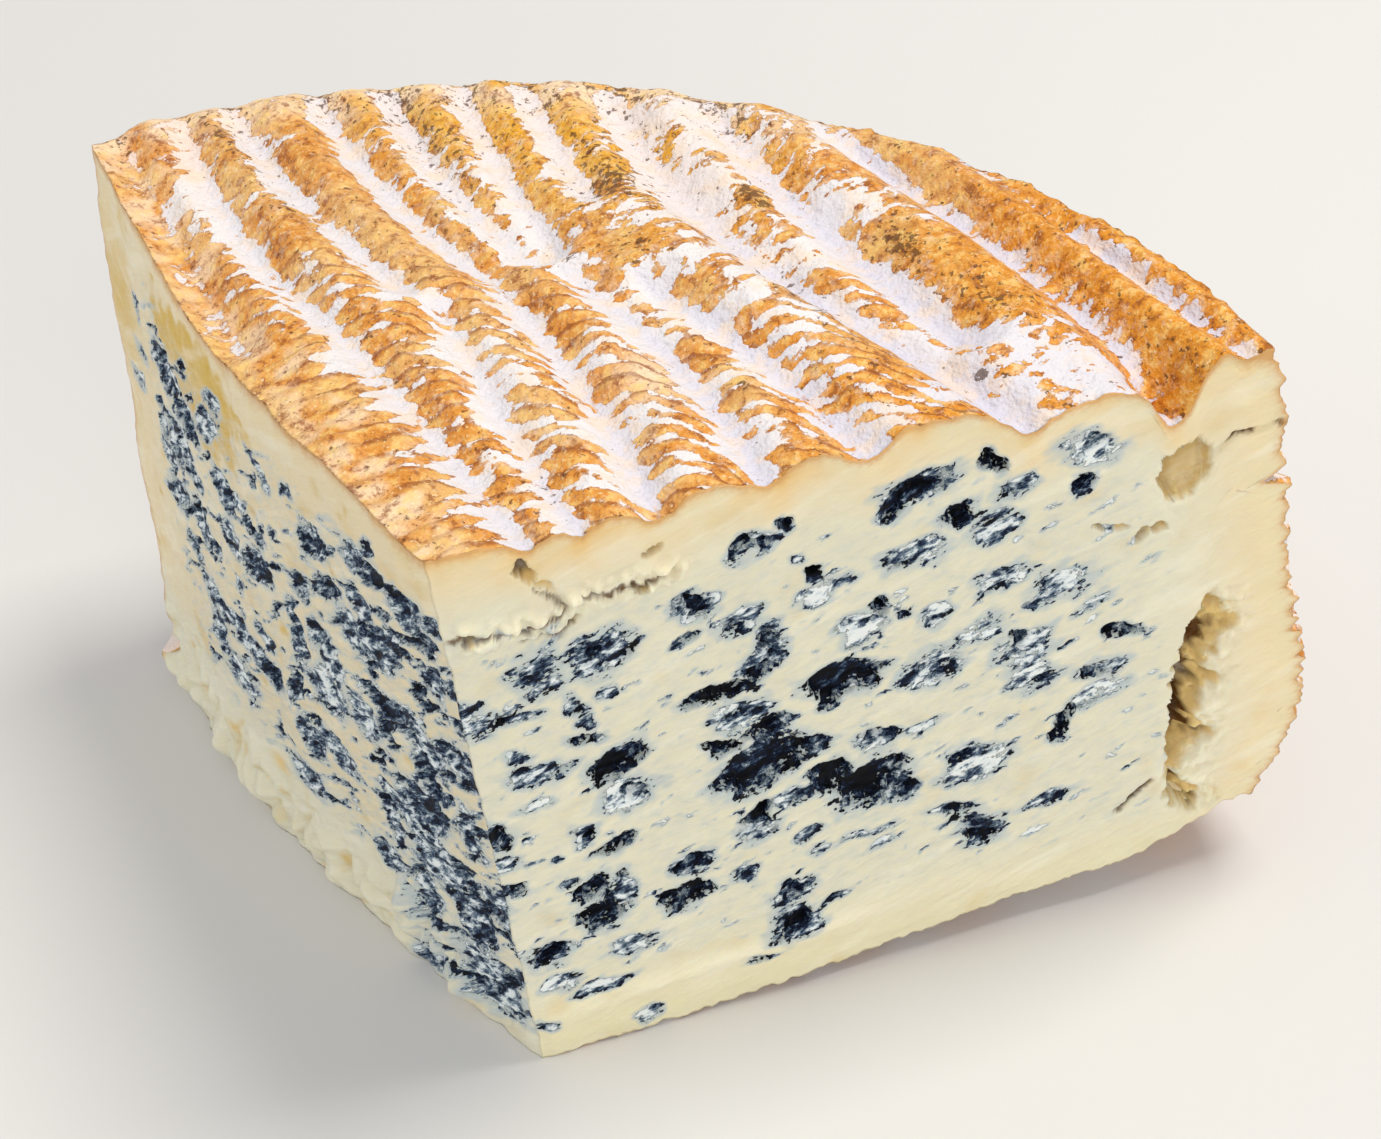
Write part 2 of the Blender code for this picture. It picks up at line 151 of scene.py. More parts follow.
# ---- Mould and holes in the cut faces -------------------------------------------------------------
# (along the cut, height, length, width, tilt in degrees, how dark, how much pale flake)
RIGHT_POCKETS = [
    (33.0, 66.0, 2.4, 1.8, -30, 1.0, 0.0),
    (30.0, 64.2, 5.6, 3.2, 10, 0.9, 0.7),
    (34.0, 60.5, 2.0, 1.5, 0, 0.7, 0.3),
    (46.5, 65.6, 8.4, 4.2, 5, 0.9, 0.3),
    (43.5, 64.2, 4.0, 3.4, 60, 0.9, 0.2),
    (49.8, 60.9, 5.6, 3.2, 10, 0.95, 0.1),
    (53.2, 66.0, 2.2, 4.2, 25, 1.0, 0.0),
    (55.9, 62.2, 4.6, 3.2, 25, 0.9, 0.5),
    (63.2, 64.4, 7.0, 4.4, -15, 0.8, 1.0),
    (62.2, 60.6, 3.4, 2.2, -20, 0.85, 0.0),
    (53.4, 58.0, 5.4, 4.6, 0, 0.66, 0.3),
    (45.3, 57.5, 8.4, 3.6, 0, 0.62, 0.4),
    (35.9, 58.4, 3.0, 1.8, 0, 1.0, 0.0),
    (36.0, 56.0, 6.8, 2.8, 10, 0.6, 1.0),
    (23.4, 58.8, 4.8, 4.6, 0, 0.9, 0.8),
    (22.2, 54.4, 3.6, 2.0, 5, 0.85, 0.4),
    (28.0, 55.2, 6.0, 3.0, 15, 0.9, 0.5),
    (8.2, 55.6, 5.6, 6.0, 20, 0.72, 0.1),
    (14.2, 56.0, 7.4, 6.8, 20, 0.78, 0.2),
    (0.6, 51.6, 6.0, 5.0, -30, 0.72, 0.1),
    (5.4, 50.6, 6.0, 2.2, -10, 0.7, 0.0),
    (11.0, 49.2, 2.2, 5.0, 10, 0.72, 0.0),
    (14.0, 50.9, 3.0, 1.6, 10, 0.66, 0.2),
    (30.2, 51.4, 3.6, 7.0, 5, 0.86, 0.5),
    (28.8, 48.6, 3.6, 3.6, 30, 0.9, 0.6),
    (24.6, 46.6, 9.6, 2.6, 6, 1.1, 0.1),
    (39.4, 49.8, 5.6, 4.4, 30, 0.78, 1.0),
    (41.6, 52.2, 3.4, 1.8, 60, 1.0, 0.0),
    (37.4, 43.8, 9.0, 5.4, -4, 1.1, 0.1),
    (35.6, 41.4, 3.6, 3.0, 0, 1.0, 0.0),
    (47.0, 48.9, 3.4, 3.6, 0, 0.74, 0.6),
    (43.7, 50.4, 2.4, 1.2, -40, 0.9, 0.0),
    (54.0, 51.2, 6.4, 4.2, 15, 0.76, 0.5),
    (60.0, 48.2, 8.0, 4.8, 10, 0.6, 0.5),
    (63.4, 44.6, 4.4, 2.2, 35, 0.58, 0.4),
    (51.4, 45.2, 5.6, 3.8, 20, 0.66, 0.9),
    (46.2, 41.8, 7.4, 5.2, 20, 0.74, 0.5),
    (56.4, 41.2, 7.0, 5.0, -5, 0.8, 0.9),
    (55.2, 42.0, 2.2, 4.0, 10, 1.0, 0.0),
    (57.2, 36.6, 6.6, 5.0, 0, 0.72, 0.5),
    (66.2, 40.0, 4.8, 2.4, -15, 1.0, 0.2),
    (64.4, 35.0, 6.6, 3.0, 0, 0.9, 0.4),
    (63.8, 31.4, 7.0, 3.4, 10, 0.62, 1.0),
    (60.0, 28.4, 3.0, 5.8, -20, 1.05, 0.0),
    (11.6, 45.4, 4.6, 2.2, 5, 1.05, 0.0),
    (6.0, 42.6, 7.4, 3.2, -5, 0.72, 0.2),
    (4.4, 45.4, 4.4, 2.0, -10, 0.64, 0.2),
    (14.0, 41.4, 7.6, 4.6, 30, 1.1, 0.1),
    (13.0, 39.2, 4.8, 3.4, 10, 1.05, 0.0),
    (14.4, 36.2, 7.6, 4.6, 5, 0.85, 0.9),
    (5.3, 38.1, 4.2, 2.0, 5, 0.5, 0.9),
    (-0.4, 35.6, 6.6, 5.4, -35, 1.1, 0.2),
    (1.0, 31.4, 4.4, 2.4, 0, 0.76, 0.4),
    (0.0, 27.2, 6.2, 2.2, -10, 1.05, 0.2),
    (-0.6, 24.2, 3.4, 3.4, 0, 0.74, 0.3),
    (9.3, 32.7, 3.2, 3.4, 0, 0.8, 0.4),
    (6.6, 30.3, 2.0, 1.4, 0, 0.7, 0.3),
    (12.2, 29.8, 5.6, 2.6, 25, 0.95, 0.2),
    (27.0, 42.8, 6.4, 4.6, 0, 0.76, 0.5),
    (24.6, 39.2, 5.2, 3.0, -10, 1.05, 0.0),
    (29.4, 39.8, 6.0, 3.0, 10, 1.05, 0.2),
    (28.0, 35.0, 11.8, 7.2, 25, 1.12, 0.25),
    (33.4, 36.0, 6.0, 2.8, -10, 0.95, 0.1),
    (40.2, 34.4, 5.0, 3.0, 5, 0.95, 0.3),
    (45.0, 34.2, 6.0, 1.8, 5, 0.58, 0.6),
    (35.0, 31.0, 5.6, 4.4, 15, 1.1, 0.0),
    (31.6, 29.4, 5.6, 2.4, 10, 0.82, 0.4),
    (39.2, 28.2, 10.0, 8.0, 35, 1.15, 0.05),
    (42.2, 25.6, 4.4, 4.6, 30, 0.82, 0.4),
    (27.2, 28.4, 4.4, 3.2, 10, 1.08, 0.0),
    (27.0, 26.0, 5.2, 4.4, 0, 0.86, 0.7),
    (49.6, 28.6, 5.6, 3.0, 10, 0.88, 0.4),
    (50.4, 26.2, 8.6, 5.0, 15, 0.78, 0.9),
    (48.0, 20.6, 6.0, 2.6, -15, 0.86, 0.1),
    (50.6, 16.6, 6.6, 4.8, -30, 0.84, 0.1),
    (58.4, 18.0, 8.0, 1.8, 15, 0.5, 0.1),
    (38.0, 21.0, 6.6, 1.8, 5, 0.62, 0.5),
    (40.0, 18.4, 5.0, 1.8, 15, 0.62, 0.3),
    (32.4, 23.3, 4.0, 2.0, 10, 0.68, 0.2),
    (33.0, 20.8, 3.0, 1.8, 0, 0.68, 0.1),
    (9.4, 24.2, 4.6, 4.6, 40, 1.05, 0.1),
    (9.4, 20.0, 6.0, 4.8, -20, 1.08, 0.2),
    (12.4, 23.2, 3.6, 6.0, -10, 0.72, 0.4),
    (19.9, 24.0, 4.6, 4.8, 20, 0.88, 0.4),
    (18.6, 19.2, 6.0, 4.0, 15, 1.1, 0.0),
    (25.3, 20.1, 3.2, 3.0, 0, 0.86, 0.0),
    (3.4, 16.0, 6.4, 4.2, 20, 0.84, 0.3),
    (12.4, 14.2, 6.4, 3.2, 10, 0.62, 0.5),
    (4.2, 11.4, 5.0, 3.0, 20, 0.72, 0.6),
    (8.4, 9.2, 8.0, 1.8, 5, 0.66, 0.1),
    (29.6, 15.4, 5.0, 5.0, 10, 0.88, 0.1),
    (29.6, 10.6, 6.4, 6.0, 0, 0.84, 0.1),
    (34.4, 12.4, 4.6, 2.0, 15, 0.62, 0.1),
    (25.4, 6.2, 5.0, 1.4, 10, 0.6, 0.0),
    (12.3, 2.3, 3.2, 2.6, 0, 0.55, 0.4),
    (1.0, 5.2, 3.2, 2.6, 0, 0.58, 0.4),
    (6.6, 26.2, 2.4, 1.6, 10, 0.6, 0.4),
    (57.4, 46.4, 2.0, 1.4, 0, 0.6, 0.3),
]
LEFT_POCKETS = [
    (26.7, 56.7, 8.0, 4.6, 40, 1.1, 0.3),
    (37.4, 59.0, 5.6, 1.8, -45, 0.9, 0.0),
    (30.4, 61.0, 4.4, 2.2, 30, 0.8, 0.2),
    (16.0, 62.2, 8.0, 4.2, 25, 0.9, 0.2),
    (12.0, 66.0, 3.4, 1.8, 50, 0.9, 0.0),
    (7.2, 61.8, 7.0, 4.8, 10, 0.95, 0.2),
    (2.0, 63.0, 5.0, 2.4, 40, 0.9, 0.0),
    (12.8, 54.0, 10.0, 3.2, 35, 0.95, 0.1),
    (15.6, 50.0, 8.0, 4.6, 30, 0.8, 0.4),
    (17.6, 55.0, 5.0, 3.6, 0, 0.8, 0.2),
    (49.2, 60.6, 5.4, 3.0, 20, 0.7, 0.6),
    (66.4, 54.0, 9.0, 5.6, -20, 0.86, 0.2),
    (60.2, 51.4, 7.0, 4.6, -10, 1.0, 0.2),
    (70.6, 47.2, 4.2, 3.2, 20, 1.1, 0.0),
    (70.8, 44.2, 4.0, 3.0, 10, 0.9, 0.2),
    (65.0, 45.4, 9.0, 6.6, 20, 0.72, 0.4),
    (61.2, 43.2, 5.0, 3.8, 10, 0.82, 0.3),
    (53.6, 55.2, 8.0, 3.6, 40, 0.78, 0.9),
    (50.8, 48.0, 6.4, 4.8, -20, 0.95, 0.3),
    (46.2, 49.4, 5.0, 2.2, 10, 0.7, 0.7),
    (42.6, 47.7, 6.4, 3.2, 20, 1.05, 0.1),
    (43.4, 42.7, 9.4, 4.4, 25, 1.05, 0.2),
    (50.4, 42.0, 4.0, 5.0, 10, 0.7, 0.3),
    (32.2, 47.4, 6.0, 3.6, 35, 1.05, 0.5),
    (26.0, 51.8, 9.0, 2.6, 25, 1.05, 0.1),
    (20.6, 49.4, 6.0, 6.0, 10, 0.76, 0.4),
    (29.4, 42.8, 8.0, 4.0, 40, 1.0, 0.3),
    (26.6, 40.6, 5.0, 6.0, 10, 0.6, 1.6),
    (35.8, 38.0, 3.4, 9.0, 5, 0.9, 0.2),
    (29.6, 34.8, 9.4, 6.0, 10, 0.76, 1.0),
    (22.0, 36.6, 6.0, 6.0, 0, 0.7, 0.5),
    (38.0, 29.6, 9.0, 2.0, 62, 0.95, 0.0),
    (69.4, 36.2, 9.0, 4.6, 25, 0.88, 0.2),
    (70.2, 40.4, 6.0, 3.8, 10, 0.78, 0.2),
    (61.2, 37.4, 6.4, 5.0, -10, 0.78, 0.4),
    (65.2, 30.6, 4.8, 3.6, 0, 1.05, 0.0),
    (50.2, 35.4, 3.4, 3.0, 0, 0.7, 0.2),
    (44.4, 32.2, 5.0, 3.0, 0, 0.76, 0.4),
    (58.6, 27.2, 10.0, 5.0, 0, 0.82, 0.3),
    (52.6, 27.4, 9.0, 4.0, -5, 0.76, 0.4),
    (45.6, 26.8, 7.4, 5.0, 0, 1.05, 0.1),
    (59.4, 21.6, 4.6, 5.6, 30, 0.78, 0.2),
    (54.6, 19.4, 8.0, 5.4, 0, 0.58, 1.0),
    (30.8, 25.4, 10.0, 4.4, -10, 0.82, 0.3),
    (36.2, 22.8, 5.6, 5.0, -20, 0.92, 0.2),
    (20.2, 22.6, 3.4, 8.6, 15, 0.84, 0.2),
    (12.8, 30.2, 9.0, 7.4, 10, 1.02, 0.3),
    (17.4, 26.8, 8.0, 4.4, 0, 0.78, 0.4),
    (10.0, 36.2, 4.6, 6.0, 20, 1.05, 0.1),
    (9.2, 40.8, 8.0, 6.6, 0, 0.76, 0.5),
    (4.0, 44.4, 8.0, 4.2, 30, 0.84, 0.2),
    (13.2, 43.2, 9.0, 3.6, 20, 0.9, 0.2),
    (7.2, 17.4, 7.4, 8.6, 20, 1.02, 0.3),
    (12.4, 22.6, 10.0, 8.6, 20, 0.76, 0.5),
    (1.8, 23.4, 6.0, 6.0, 30, 0.8, 0.3),
    (22.6, 15.2, 5.4, 4.8, 20, 0.8, 0.2),
    (16.0, 14.4, 4.4, 8.0, 0, 0.74, 0.4),
    (38.8, 14.8, 8.6, 4.8, 10, 0.7, 0.4),
    (6.4, 8.0, 10.0, 11.0, 10, 0.72, 0.4),
    (17.4, 2.6, 7.0, 5.0, 20, 0.84, 0.4),
    (80.4, 45.0, 5.4, 3.0, 20, 0.56, 0.3),
    (77.2, 50.0, 5.4, 3.0, 10, 0.54, 0.3),
    (76.6, 57.0, 4.0, 3.8, 0, 0.52, 0.3),
    (4.6, 53.8, 6.0, 3.6, 30, 0.8, 0.2),
    (3.6, 34.0, 4.6, 7.0, 0, 0.86, 0.3),
]
STREAK_TILT_RIGHT = math.radians(19)
STREAK_TILT_LEFT = math.radians(28)
POCKET_REACH = 1.1
POCKET_DEPTH = 1.7

# Bare openings in the right cut face: (along, height, length, width, tilt, depth, how much painted shade)
RIGHT_HOLES = [
    (73.0, 58.4, 6.6, 5.4, 62, 3.2, 0.5),
    (65.2, 54.0, 3.8, 1.0, -22, 1.3, 0.6),
    (68.4, 51.8, 2.6, 1.3, 50, 1.5, 0.7),
    (70.4, 52.2, 2.2, 1.3, -20, 1.3, 0.5),
    (8.8, 67.6, 1.6, 3.2, 20, 2.0, 1.0),
    (10.6, 65.4, 1.0, 3.0, 40, 0.7, 0.1),
    (2.2, 61.8, 1.3, 0.9, 0, 1.8, 1.6),
    (20.6, 66.4, 2.4, 0.8, 20, 0.8, 0.6),
    (18.8, 62.9, 1.8, 0.8, 20, 1.0, 0.7),
    (12.0, 60.6, 2.4, 0.7, 40, 1.0, 1.0),
]
# The long crevice: (height, middle, width along the cut) from its lower end to its top end
CREVICE = [
    (8.6, 75.2, 0.0),
    (11.5, 73.8, 3.4),
    (13.5, 72.6, 2.2),
    (16.0, 72.2, 0.8),
    (18.0, 72.8, 2.4),
    (20.0, 73.8, 4.8),
    (23.0, 73.2, 2.6),
    (26.0, 73.5, 3.0),
    (28.4, 74.6, 5.0),
    (31.2, 73.7, 2.6),
    (33.5, 74.7, 3.8),
    (36.0, 75.7, 4.8),
    (38.5, 75.6, 3.0),
    (40.6, 76.0, 1.4),
    (42.0, 76.4, 0.0),
]
CREVICE_DEPTH = 4.6
# Thin cracks in the right cut face, as lines of (along, height), and how deep they are
RIGHT_CRACKS = [
    ([(-1, 62.4), (3, 62.2), (7, 61.4), (10, 61.6), (13, 63.0), (17, 63.4), (22, 63.8)], 0.45),
    ([(7, 59.8), (11, 60.0), (12.6, 61.4), (13.6, 63.4)], 0.5),
    ([(9.4, 66.0), (10.2, 64.0), (12.6, 62.8)], 0.35),
    ([(75.6, 59.8), (77.7, 60.9), (80.4, 61.4), (84, 61.4)], 0.5),
    ([(66, 12.5), (68, 14.5), (70.5, 16.5)], 0.6),
]

# ---- Grids ---------------------------------------------------------------------------------------------
CELLS = 310
ROWS = 240
BASE_RINGS = [1.0, 0.985, 0.96, 0.92, 0.85, 0.75, 0.6, 0.4, 0.2]

LEFT_DIRECTION = np.array([-math.sin(CUT_ANGLE), math.cos(CUT_ANGLE)])
RIGHT_DIRECTION = np.array([math.sin(CUT_ANGLE), math.cos(CUT_ANGLE)])
LEFT_OUTWARD = np.array([-math.cos(CUT_ANGLE), -math.sin(CUT_ANGLE)])
RIGHT_OUTWARD = np.array([math.cos(CUT_ANGLE), -math.sin(CUT_ANGLE)])
MIDDLE = np.array([-4.0, 46.0, HEIGHT / 2])

# ---- Camera, given from the foot of the wedge's tip ---------------------------------------------------
CAMERA_FROM_TIP = np.array([97.9, -137.5, 217.4])
CAMERA_YAW = -0.4797
CAMERA_PITCH = 0.7324
CAMERA_ROLL = -0.1428
CAMERA_LENS = 65.5


def srgb(red, green, blue):
    """Screen values from 0 to 255 as the linear values that Blender takes."""
    shares = np.array([red, green, blue]) / 255
    return np.where(shares <= 0.04045, shares / 12.92, ((shares + 0.055) / 1.055) ** 2.4)


# ---- Noise ---------------------------------------------------------------------------------------------


def smoothstep(x):
    x = np.clip(x, 0.0, 1.0)
    return x * x * (3.0 - 2.0 * x)


def hashed(ix, iy, seed):
    """A repeatable number from 0 to 1 for each point of a whole-number lattice."""
    bits = ix.astype(np.int64) * 374761393 + iy.astype(np.int64) * 668265263 + seed * 974634777
    bits = bits & 0xFFFFFFFF
    bits = ((bits ^ (bits >> 13)) * 1274126177) & 0xFFFFFFFF
    return ((bits ^ (bits >> 16)) & 0xFFFF) / 65535.0


def noise(x, y, size, seed):
    """Smooth noise from about -1 to 1, with features of this size."""
    x, y = x / size, y / size
    ix, iy = np.floor(x), np.floor(y)
    fx, fy = x - ix, y - iy
    ease_x = fx**3 * (fx * (fx * 6 - 15) + 10)
    ease_y = fy**3 * (fy * (fy * 6 - 15) + 10)
    total = 0
    for step_x, share_x in ((0, 1 - ease_x), (1, ease_x)):
        for step_y, share_y in ((0, 1 - ease_y), (1, ease_y)):
            angle = 2 * math.pi * hashed(ix + step_x, iy + step_y, seed)
            slope = np.cos(angle) * (fx - step_x) + np.sin(angle) * (fy - step_y)
            total = total + share_x * share_y * slope
    return 1.5 * total


def fractal(x, y, size, octaves, seed):
    """Noise with finer and finer noise added to it."""
    return sum(
        noise(x, y, size / 2**octave, seed + octave) / 2 ** (octave * 0.8)
        for octave in range(octaves)
    )


def blob(x, y, centre_x, centre_y, length, width, tilt=0.0):
    """1 in the middle of an ellipse, falling softly to almost nothing at its edge."""
    cos, sin = math.cos(math.radians(tilt)), math.sin(math.radians(tilt))
    over_x, over_y = x - centre_x, y - centre_y
    along = (over_x * cos + over_y * sin) / (length / 2)
    across = (over_y * cos - over_x * sin) / (width / 2)
    return np.exp(-1.5 * (along**2 + across**2))


# ---- The outline at one height ----------------------------------------------------------------------


def profile_at(profile, share):
    shares, offsets = zip(*profile)
    return np.interp(share, shares, offsets)


def notch_depth(share):
    """The crack that runs round the rim from the right cut face."""
    return NOTCH_DEPTH * np.exp(-(((share - NOTCH_SHARE) / NOTCH_SPREAD) ** 2))


def corner_wear(share, seed):
    return 0.5 * fractal(share * HEIGHT, 0 * share, 5.0, 3, seed)


def tip_wear(along, share):
    """How far the worn front edge lies behind the sharp one, along +Y."""
    height = share * HEIGHT
    wear = TIP_WEAR * (1 + fractal(height, 0 * height, 6.0, 3, 5))
    return wear * np.exp(-((along / 1.2) ** 2))


def cut_wobble(along, height, seed):
    broad = fractal(along, height, 12.0, 2, seed)
    fine = fractal(along * 0.6, height, 2.6, 2, seed + 9)
    return CUT_WOBBLE * (broad + 0.35 * fine) * smoothstep(along / 3.0)


def knob_lumps(along, height):
    """Round lumps with creases between them, from about -0.4 in a crease to 1 on a lump."""
    large, small = noise(along, height, 6.5, 41), noise(along, height, 3.2, 42)
    return 2.2 * np.abs(large) + 0.8 * np.abs(small) - 0.4


def knobs(along, height):
    """The lumpy foot of the left cut face."""
    lumps = knob_lumps(along, height)
    reach = smoothstep((KNOBS_BELOW + 5 * noise(along, 0 * along, 14, 43) - height) / 9)
    reach = reach * (0.4 + 0.6 * smoothstep(height / 4))
    return KNOB_HEIGHT * lumps * reach * smoothstep(along / 9) * smoothstep((LEFT_CUT - along) / 8)


def left_edge(u, share):
    """Points from the tip (u = 0) to the left end (u = 1) at this share of the height."""
    end = LEFT_CUT + profile_at(RIM_PROFILE_LEFT, share) + corner_wear(share, 21)
    along = u * end
    flare = LEFT_FLARE * np.sin(np.clip(along / FLARE_FULL_AT, 0, 1) * math.pi / 2) ** FLARE_SHAPE
    out = flare * (1 - share) + LEFT_BOW * np.sin(u * math.pi) * share
    out = out + cut_wobble(along, share * HEIGHT, 11) + knobs(along, share * HEIGHT)
    points = along[..., None] * LEFT_DIRECTION + out[..., None] * LEFT_OUTWARD
    points[..., 1] += tip_wear(along, share)
    return points


def right_edge(u, share):
    """Points from the tip (u = 0) to the right end (u = 1) at this share of the height."""
    end = RIGHT_CUT + profile_at(RIM_PROFILE_RIGHT, share) + corner_wear(share, 23)
    crumbs = 0.8 * fractal(share * HEIGHT, 0 * share, 1.8, 2, 25)
    along = u * end - (notch_depth(share) + crumbs) * smoothstep((u - 0.88) / 0.12)
    out = cut_wobble(along, share * HEIGHT, 13)
    points = along[..., None] * RIGHT_DIRECTION + out[..., None] * RIGHT_OUTWARD
    points[..., 1] += tip_wear(along, share)
    return points


def rim(t, share):
    """Points on the rim from the left end (t = 0) to the right end (t = 1)."""
    t, share = np.broadcast_arrays(t, share)
    one = np.ones(share.shape)
    left, right = left_edge(one, share) - WHEEL_AXIS, right_edge(one, share) - WHEEL_AXIS
    angle_left = np.arctan2(left[..., 1], left[..., 0])
    angle_right = np.arctan2(right[..., 1], right[..., 0])
    angle = angle_left + (angle_right - angle_left) * t
    stand_out = (1 - t) * profile_at(RIM_PROFILE_LEFT, share)
    stand_out = stand_out + t * profile_at(RIM_PROFILE_RIGHT, share)
    arc, height = angle * WHEEL_RADIUS, share * HEIGHT
    rough = fractal(arc, height * 1.6, 7.0, 4, 51) * RIM_ROUGHNESS
    rough = rough + 0.35 * fractal(arc * 0.25, height, 4.0, 2, 57)
    rough = rough - notch_depth(share) * np.exp(-(((1 - t) / NOTCH_REACH) ** 2))
    radius = WHEEL_RADIUS + stand_out + rough
    reach_left, reach_right = np.hypot(*np.moveaxis(left, -1, 0)), np.hypot(*np.moveaxis(right, -1, 0))
    radius = radius + (reach_left - radius) * (1 - t) ** (CORNER_BLEND * 4)
    radius = radius + (reach_right - radius) * t ** (CORNER_BLEND * 4)
    from_end = WHEEL_RADIUS * (angle_left - angle_right) * np.minimum(t, 1 - t)
    beads = RIM_BEADS * np.abs(noise(arc, height, 2.2, 53)) * smoothstep((0.93 - share) / 0.12) * smoothstep(t / 0.1)
    radius = radius + beads * smoothstep(from_end / 1.0)
    circle = np.stack([np.cos(angle), np.sin(angle)], axis=-1)
    return WHEEL_AXIS + radius[..., None] * circle


# ---- The top ------------------------------------------------------------------------------------------


def trough_place(x, y, trough):
    """Distances from one trough's line, past its start and on to its end."""
    start, end, bow = trough[:3]
    run = np.subtract(end, start)
    length = np.hypot(*run)
    forward = run / length
    along = (x - start[0]) * forward[0] + (y - start[1]) * forward[1]
    across = (y - start[1]) * forward[0] - (x - start[0]) * forward[1]
    share = np.clip(along / length, 0, 1)
    return across - bow * 4 * share * (1 - share), along, length - along


def trough_depth(x, y, trough):
    off_line, past_start, to_end = trough_place(x, y, trough)
    depth, half_width = trough[3:]
    ends = smoothstep(past_start / TROUGH_FADE + 0.5) * smoothstep(to_end / TROUGH_FADE + 0.5)
    return depth * ends * np.exp(-((off_line / half_width) ** 2))


def swell_height(x, y, swell):
    centre, length, width, height = swell
    across_x, across_y = x - centre[0], y - centre[1]
    along = across_x * math.cos(RIDGE_DIRECTION) + across_y * math.sin(RIDGE_DIRECTION)
    across = across_y * math.cos(RIDGE_DIRECTION) - across_x * math.sin(RIDGE_DIRECTION)
    return height * np.exp(-((along / length) ** 2) - (across / width) ** 2)


def inside_rim(x, y):
    """Distance in from the wheel's own circle."""
    return WHEEL_RADIUS - np.hypot(x - WHEEL_AXIS[0], y - WHEEL_AXIS[1])


def ridge_place(x, y):
    """Distance past the trough before each point, and to the one after it, going towards the rim."""
    before = np.full(x.shape, RIDGE_ACROSS_MOST)
    after = np.full(x.shape, RIDGE_ACROSS_MOST)
    for trough in TROUGHS:
        off_line, past_start, to_end = trough_place(x, y, trough)
        beyond = smoothstep(-np.minimum(past_start, to_end) / TROUGH_OVERRUN)
        distance = np.abs(off_line) + 2 * RIDGE_ACROSS_MOST * beyond
        before = np.where(off_line > 0, np.minimum(before, distance), before)
        after = np.where(off_line <= 0, np.minimum(after, distance), after)
    return before, after


def stripe_phase(x, y):
    """Distance along the ridges to the crescent wrinkles, which bend back past each ridge's crest."""
    before, _ = ridge_place(x, y)
    along = x * math.cos(RIDGE_DIRECTION - 0.105) + y * math.sin(RIDGE_DIRECTION - 0.105)
    bend = STRIPE_START_SLOPE * before + STRIPE_CURVE * before**2
    warp = 1.3 * noise(x, y, 8.0, 61) + 0.5 * noise(x, y, 2.8, 62)
    return along - bend + warp


def stripe_wave(phase):
    """0 in the middle of each orange band, 1 in the middle of the white line beside it."""
    return np.abs(2 * ((phase / STRIPE_PERIOD) % 1.0) - 1)


def stripiness(x, y):
    """1 where the wrinkles are clear, less where the rind is blotchy."""
    back = smoothstep((y - 40 + 0.12 * np.abs(x + 5)) / 9)
    return 1 - 0.75 * back + 0.5 * blob(x, y, 27, 46, 22, 10, -40)


def top_height(x, y):
    z = HEIGHT + sum(swell_height(x, y, swell) for swell in SWELLS)
    lip = RIM_LIP_SHARE + (1 - RIM_LIP_SHARE) * smoothstep(inside_rim(x, y) / RIM_LIP)
    z = z - lip * sum(trough_depth(x, y, trough) for trough in TROUGHS)
    rounding = np.clip(1 - inside_rim(x, y) / RIM_ROUND, 0, 1)
    return z - RIM_ROUND_DROP * rounding**2


def top_relief(x, y):
    """Wrinkles and grain on the top, above or below its broad shape."""
    before, after = ridge_place(x, y)
    crest = 4 * before * after / (before + after + 0.01) ** 2
    stripes = 0.5 - smoothstep(stripe_wave(stripe_phase(x, y)))
    relief = STRIPE_RELIEF * stripes * crest * stripiness(x, y)
    lumps = 0.35 * fractal(x, y, 6.0, 2, 71) * crest
    grain = 0.10 * fractal(x, y, 1.6, 2, 73)
    from_right = -(x * RIGHT_OUTWARD[0] + y * RIGHT_OUTWARD[1])
    from_left = -(x * LEFT_OUTWARD[0] + y * LEFT_OUTWARD[1])
    ragged = 0.30 * fractal(x, y, 2.2, 3, 75) * np.exp(-np.minimum(from_right, from_left + 2) / 1.5)
    return relief + lumps + grain + ragged


def top_surface(x, y):
    return top_height(x, y) + top_relief(x, y)


def base_surface(x, y):
    bearing = smoothstep((x - LEFT_CUT * LEFT_DIRECTION[0]) / (RIGHT_CUT + LEFT_CUT))
    rim_lift = RIM_LIFT_LEFT + (RIM_LIFT_RIGHT - RIM_LIFT_LEFT) * bearing
    near_rim = smoothstep(1 - inside_rim(x, y) / RIM_LIFT_WIDTH)
    along = x * RIGHT_DIRECTION[0] + y * RIGHT_DIRECTION[1]
    from_right = -(x * RIGHT_OUTWARD[0] + y * RIGHT_OUTWARD[1])
    near_right = smoothstep(1 - from_right / RIGHT_LIFT_WIDTH)
    lift = rim_lift * near_rim + RIGHT_LIFT * near_right * smoothstep((along - 8) / 72)
    ragged = 0.7 * np.abs(fractal(x, y, 3.4, 3, 81))
    return lift + ragged * smoothstep(1 - np.minimum(from_right, 9) / 9) * smoothstep(along / 6)


def top_patch():
    """The top's grid in plan: rows follow the left cut, columns the right cut."""
    a = np.linspace(0, 1, CELLS + 1)
    left, right = left_edge(a, 1.0 + 0 * a), right_edge(a, 1.0 + 0 * a)
    rim_right, rim_left = rim(1 - 0.5 * a, 1.0), rim(0.5 * a, 1.0)
    corners = left[0], left[-1], right[-1], rim_left[-1]
    a, b = a[:, None, None], a[None, :, None]
    blend_b = (1 - b) * left[:, None] + b * rim_right[:, None]
    blend_a = (1 - a) * right[None] + a * rim_left[None]
    flat = (1 - a) * (1 - b) * corners[0] + a * (1 - b) * corners[1]
    flat = flat + (1 - a) * b * corners[2] + a * b * corners[3]
    return blend_a + blend_b - flat


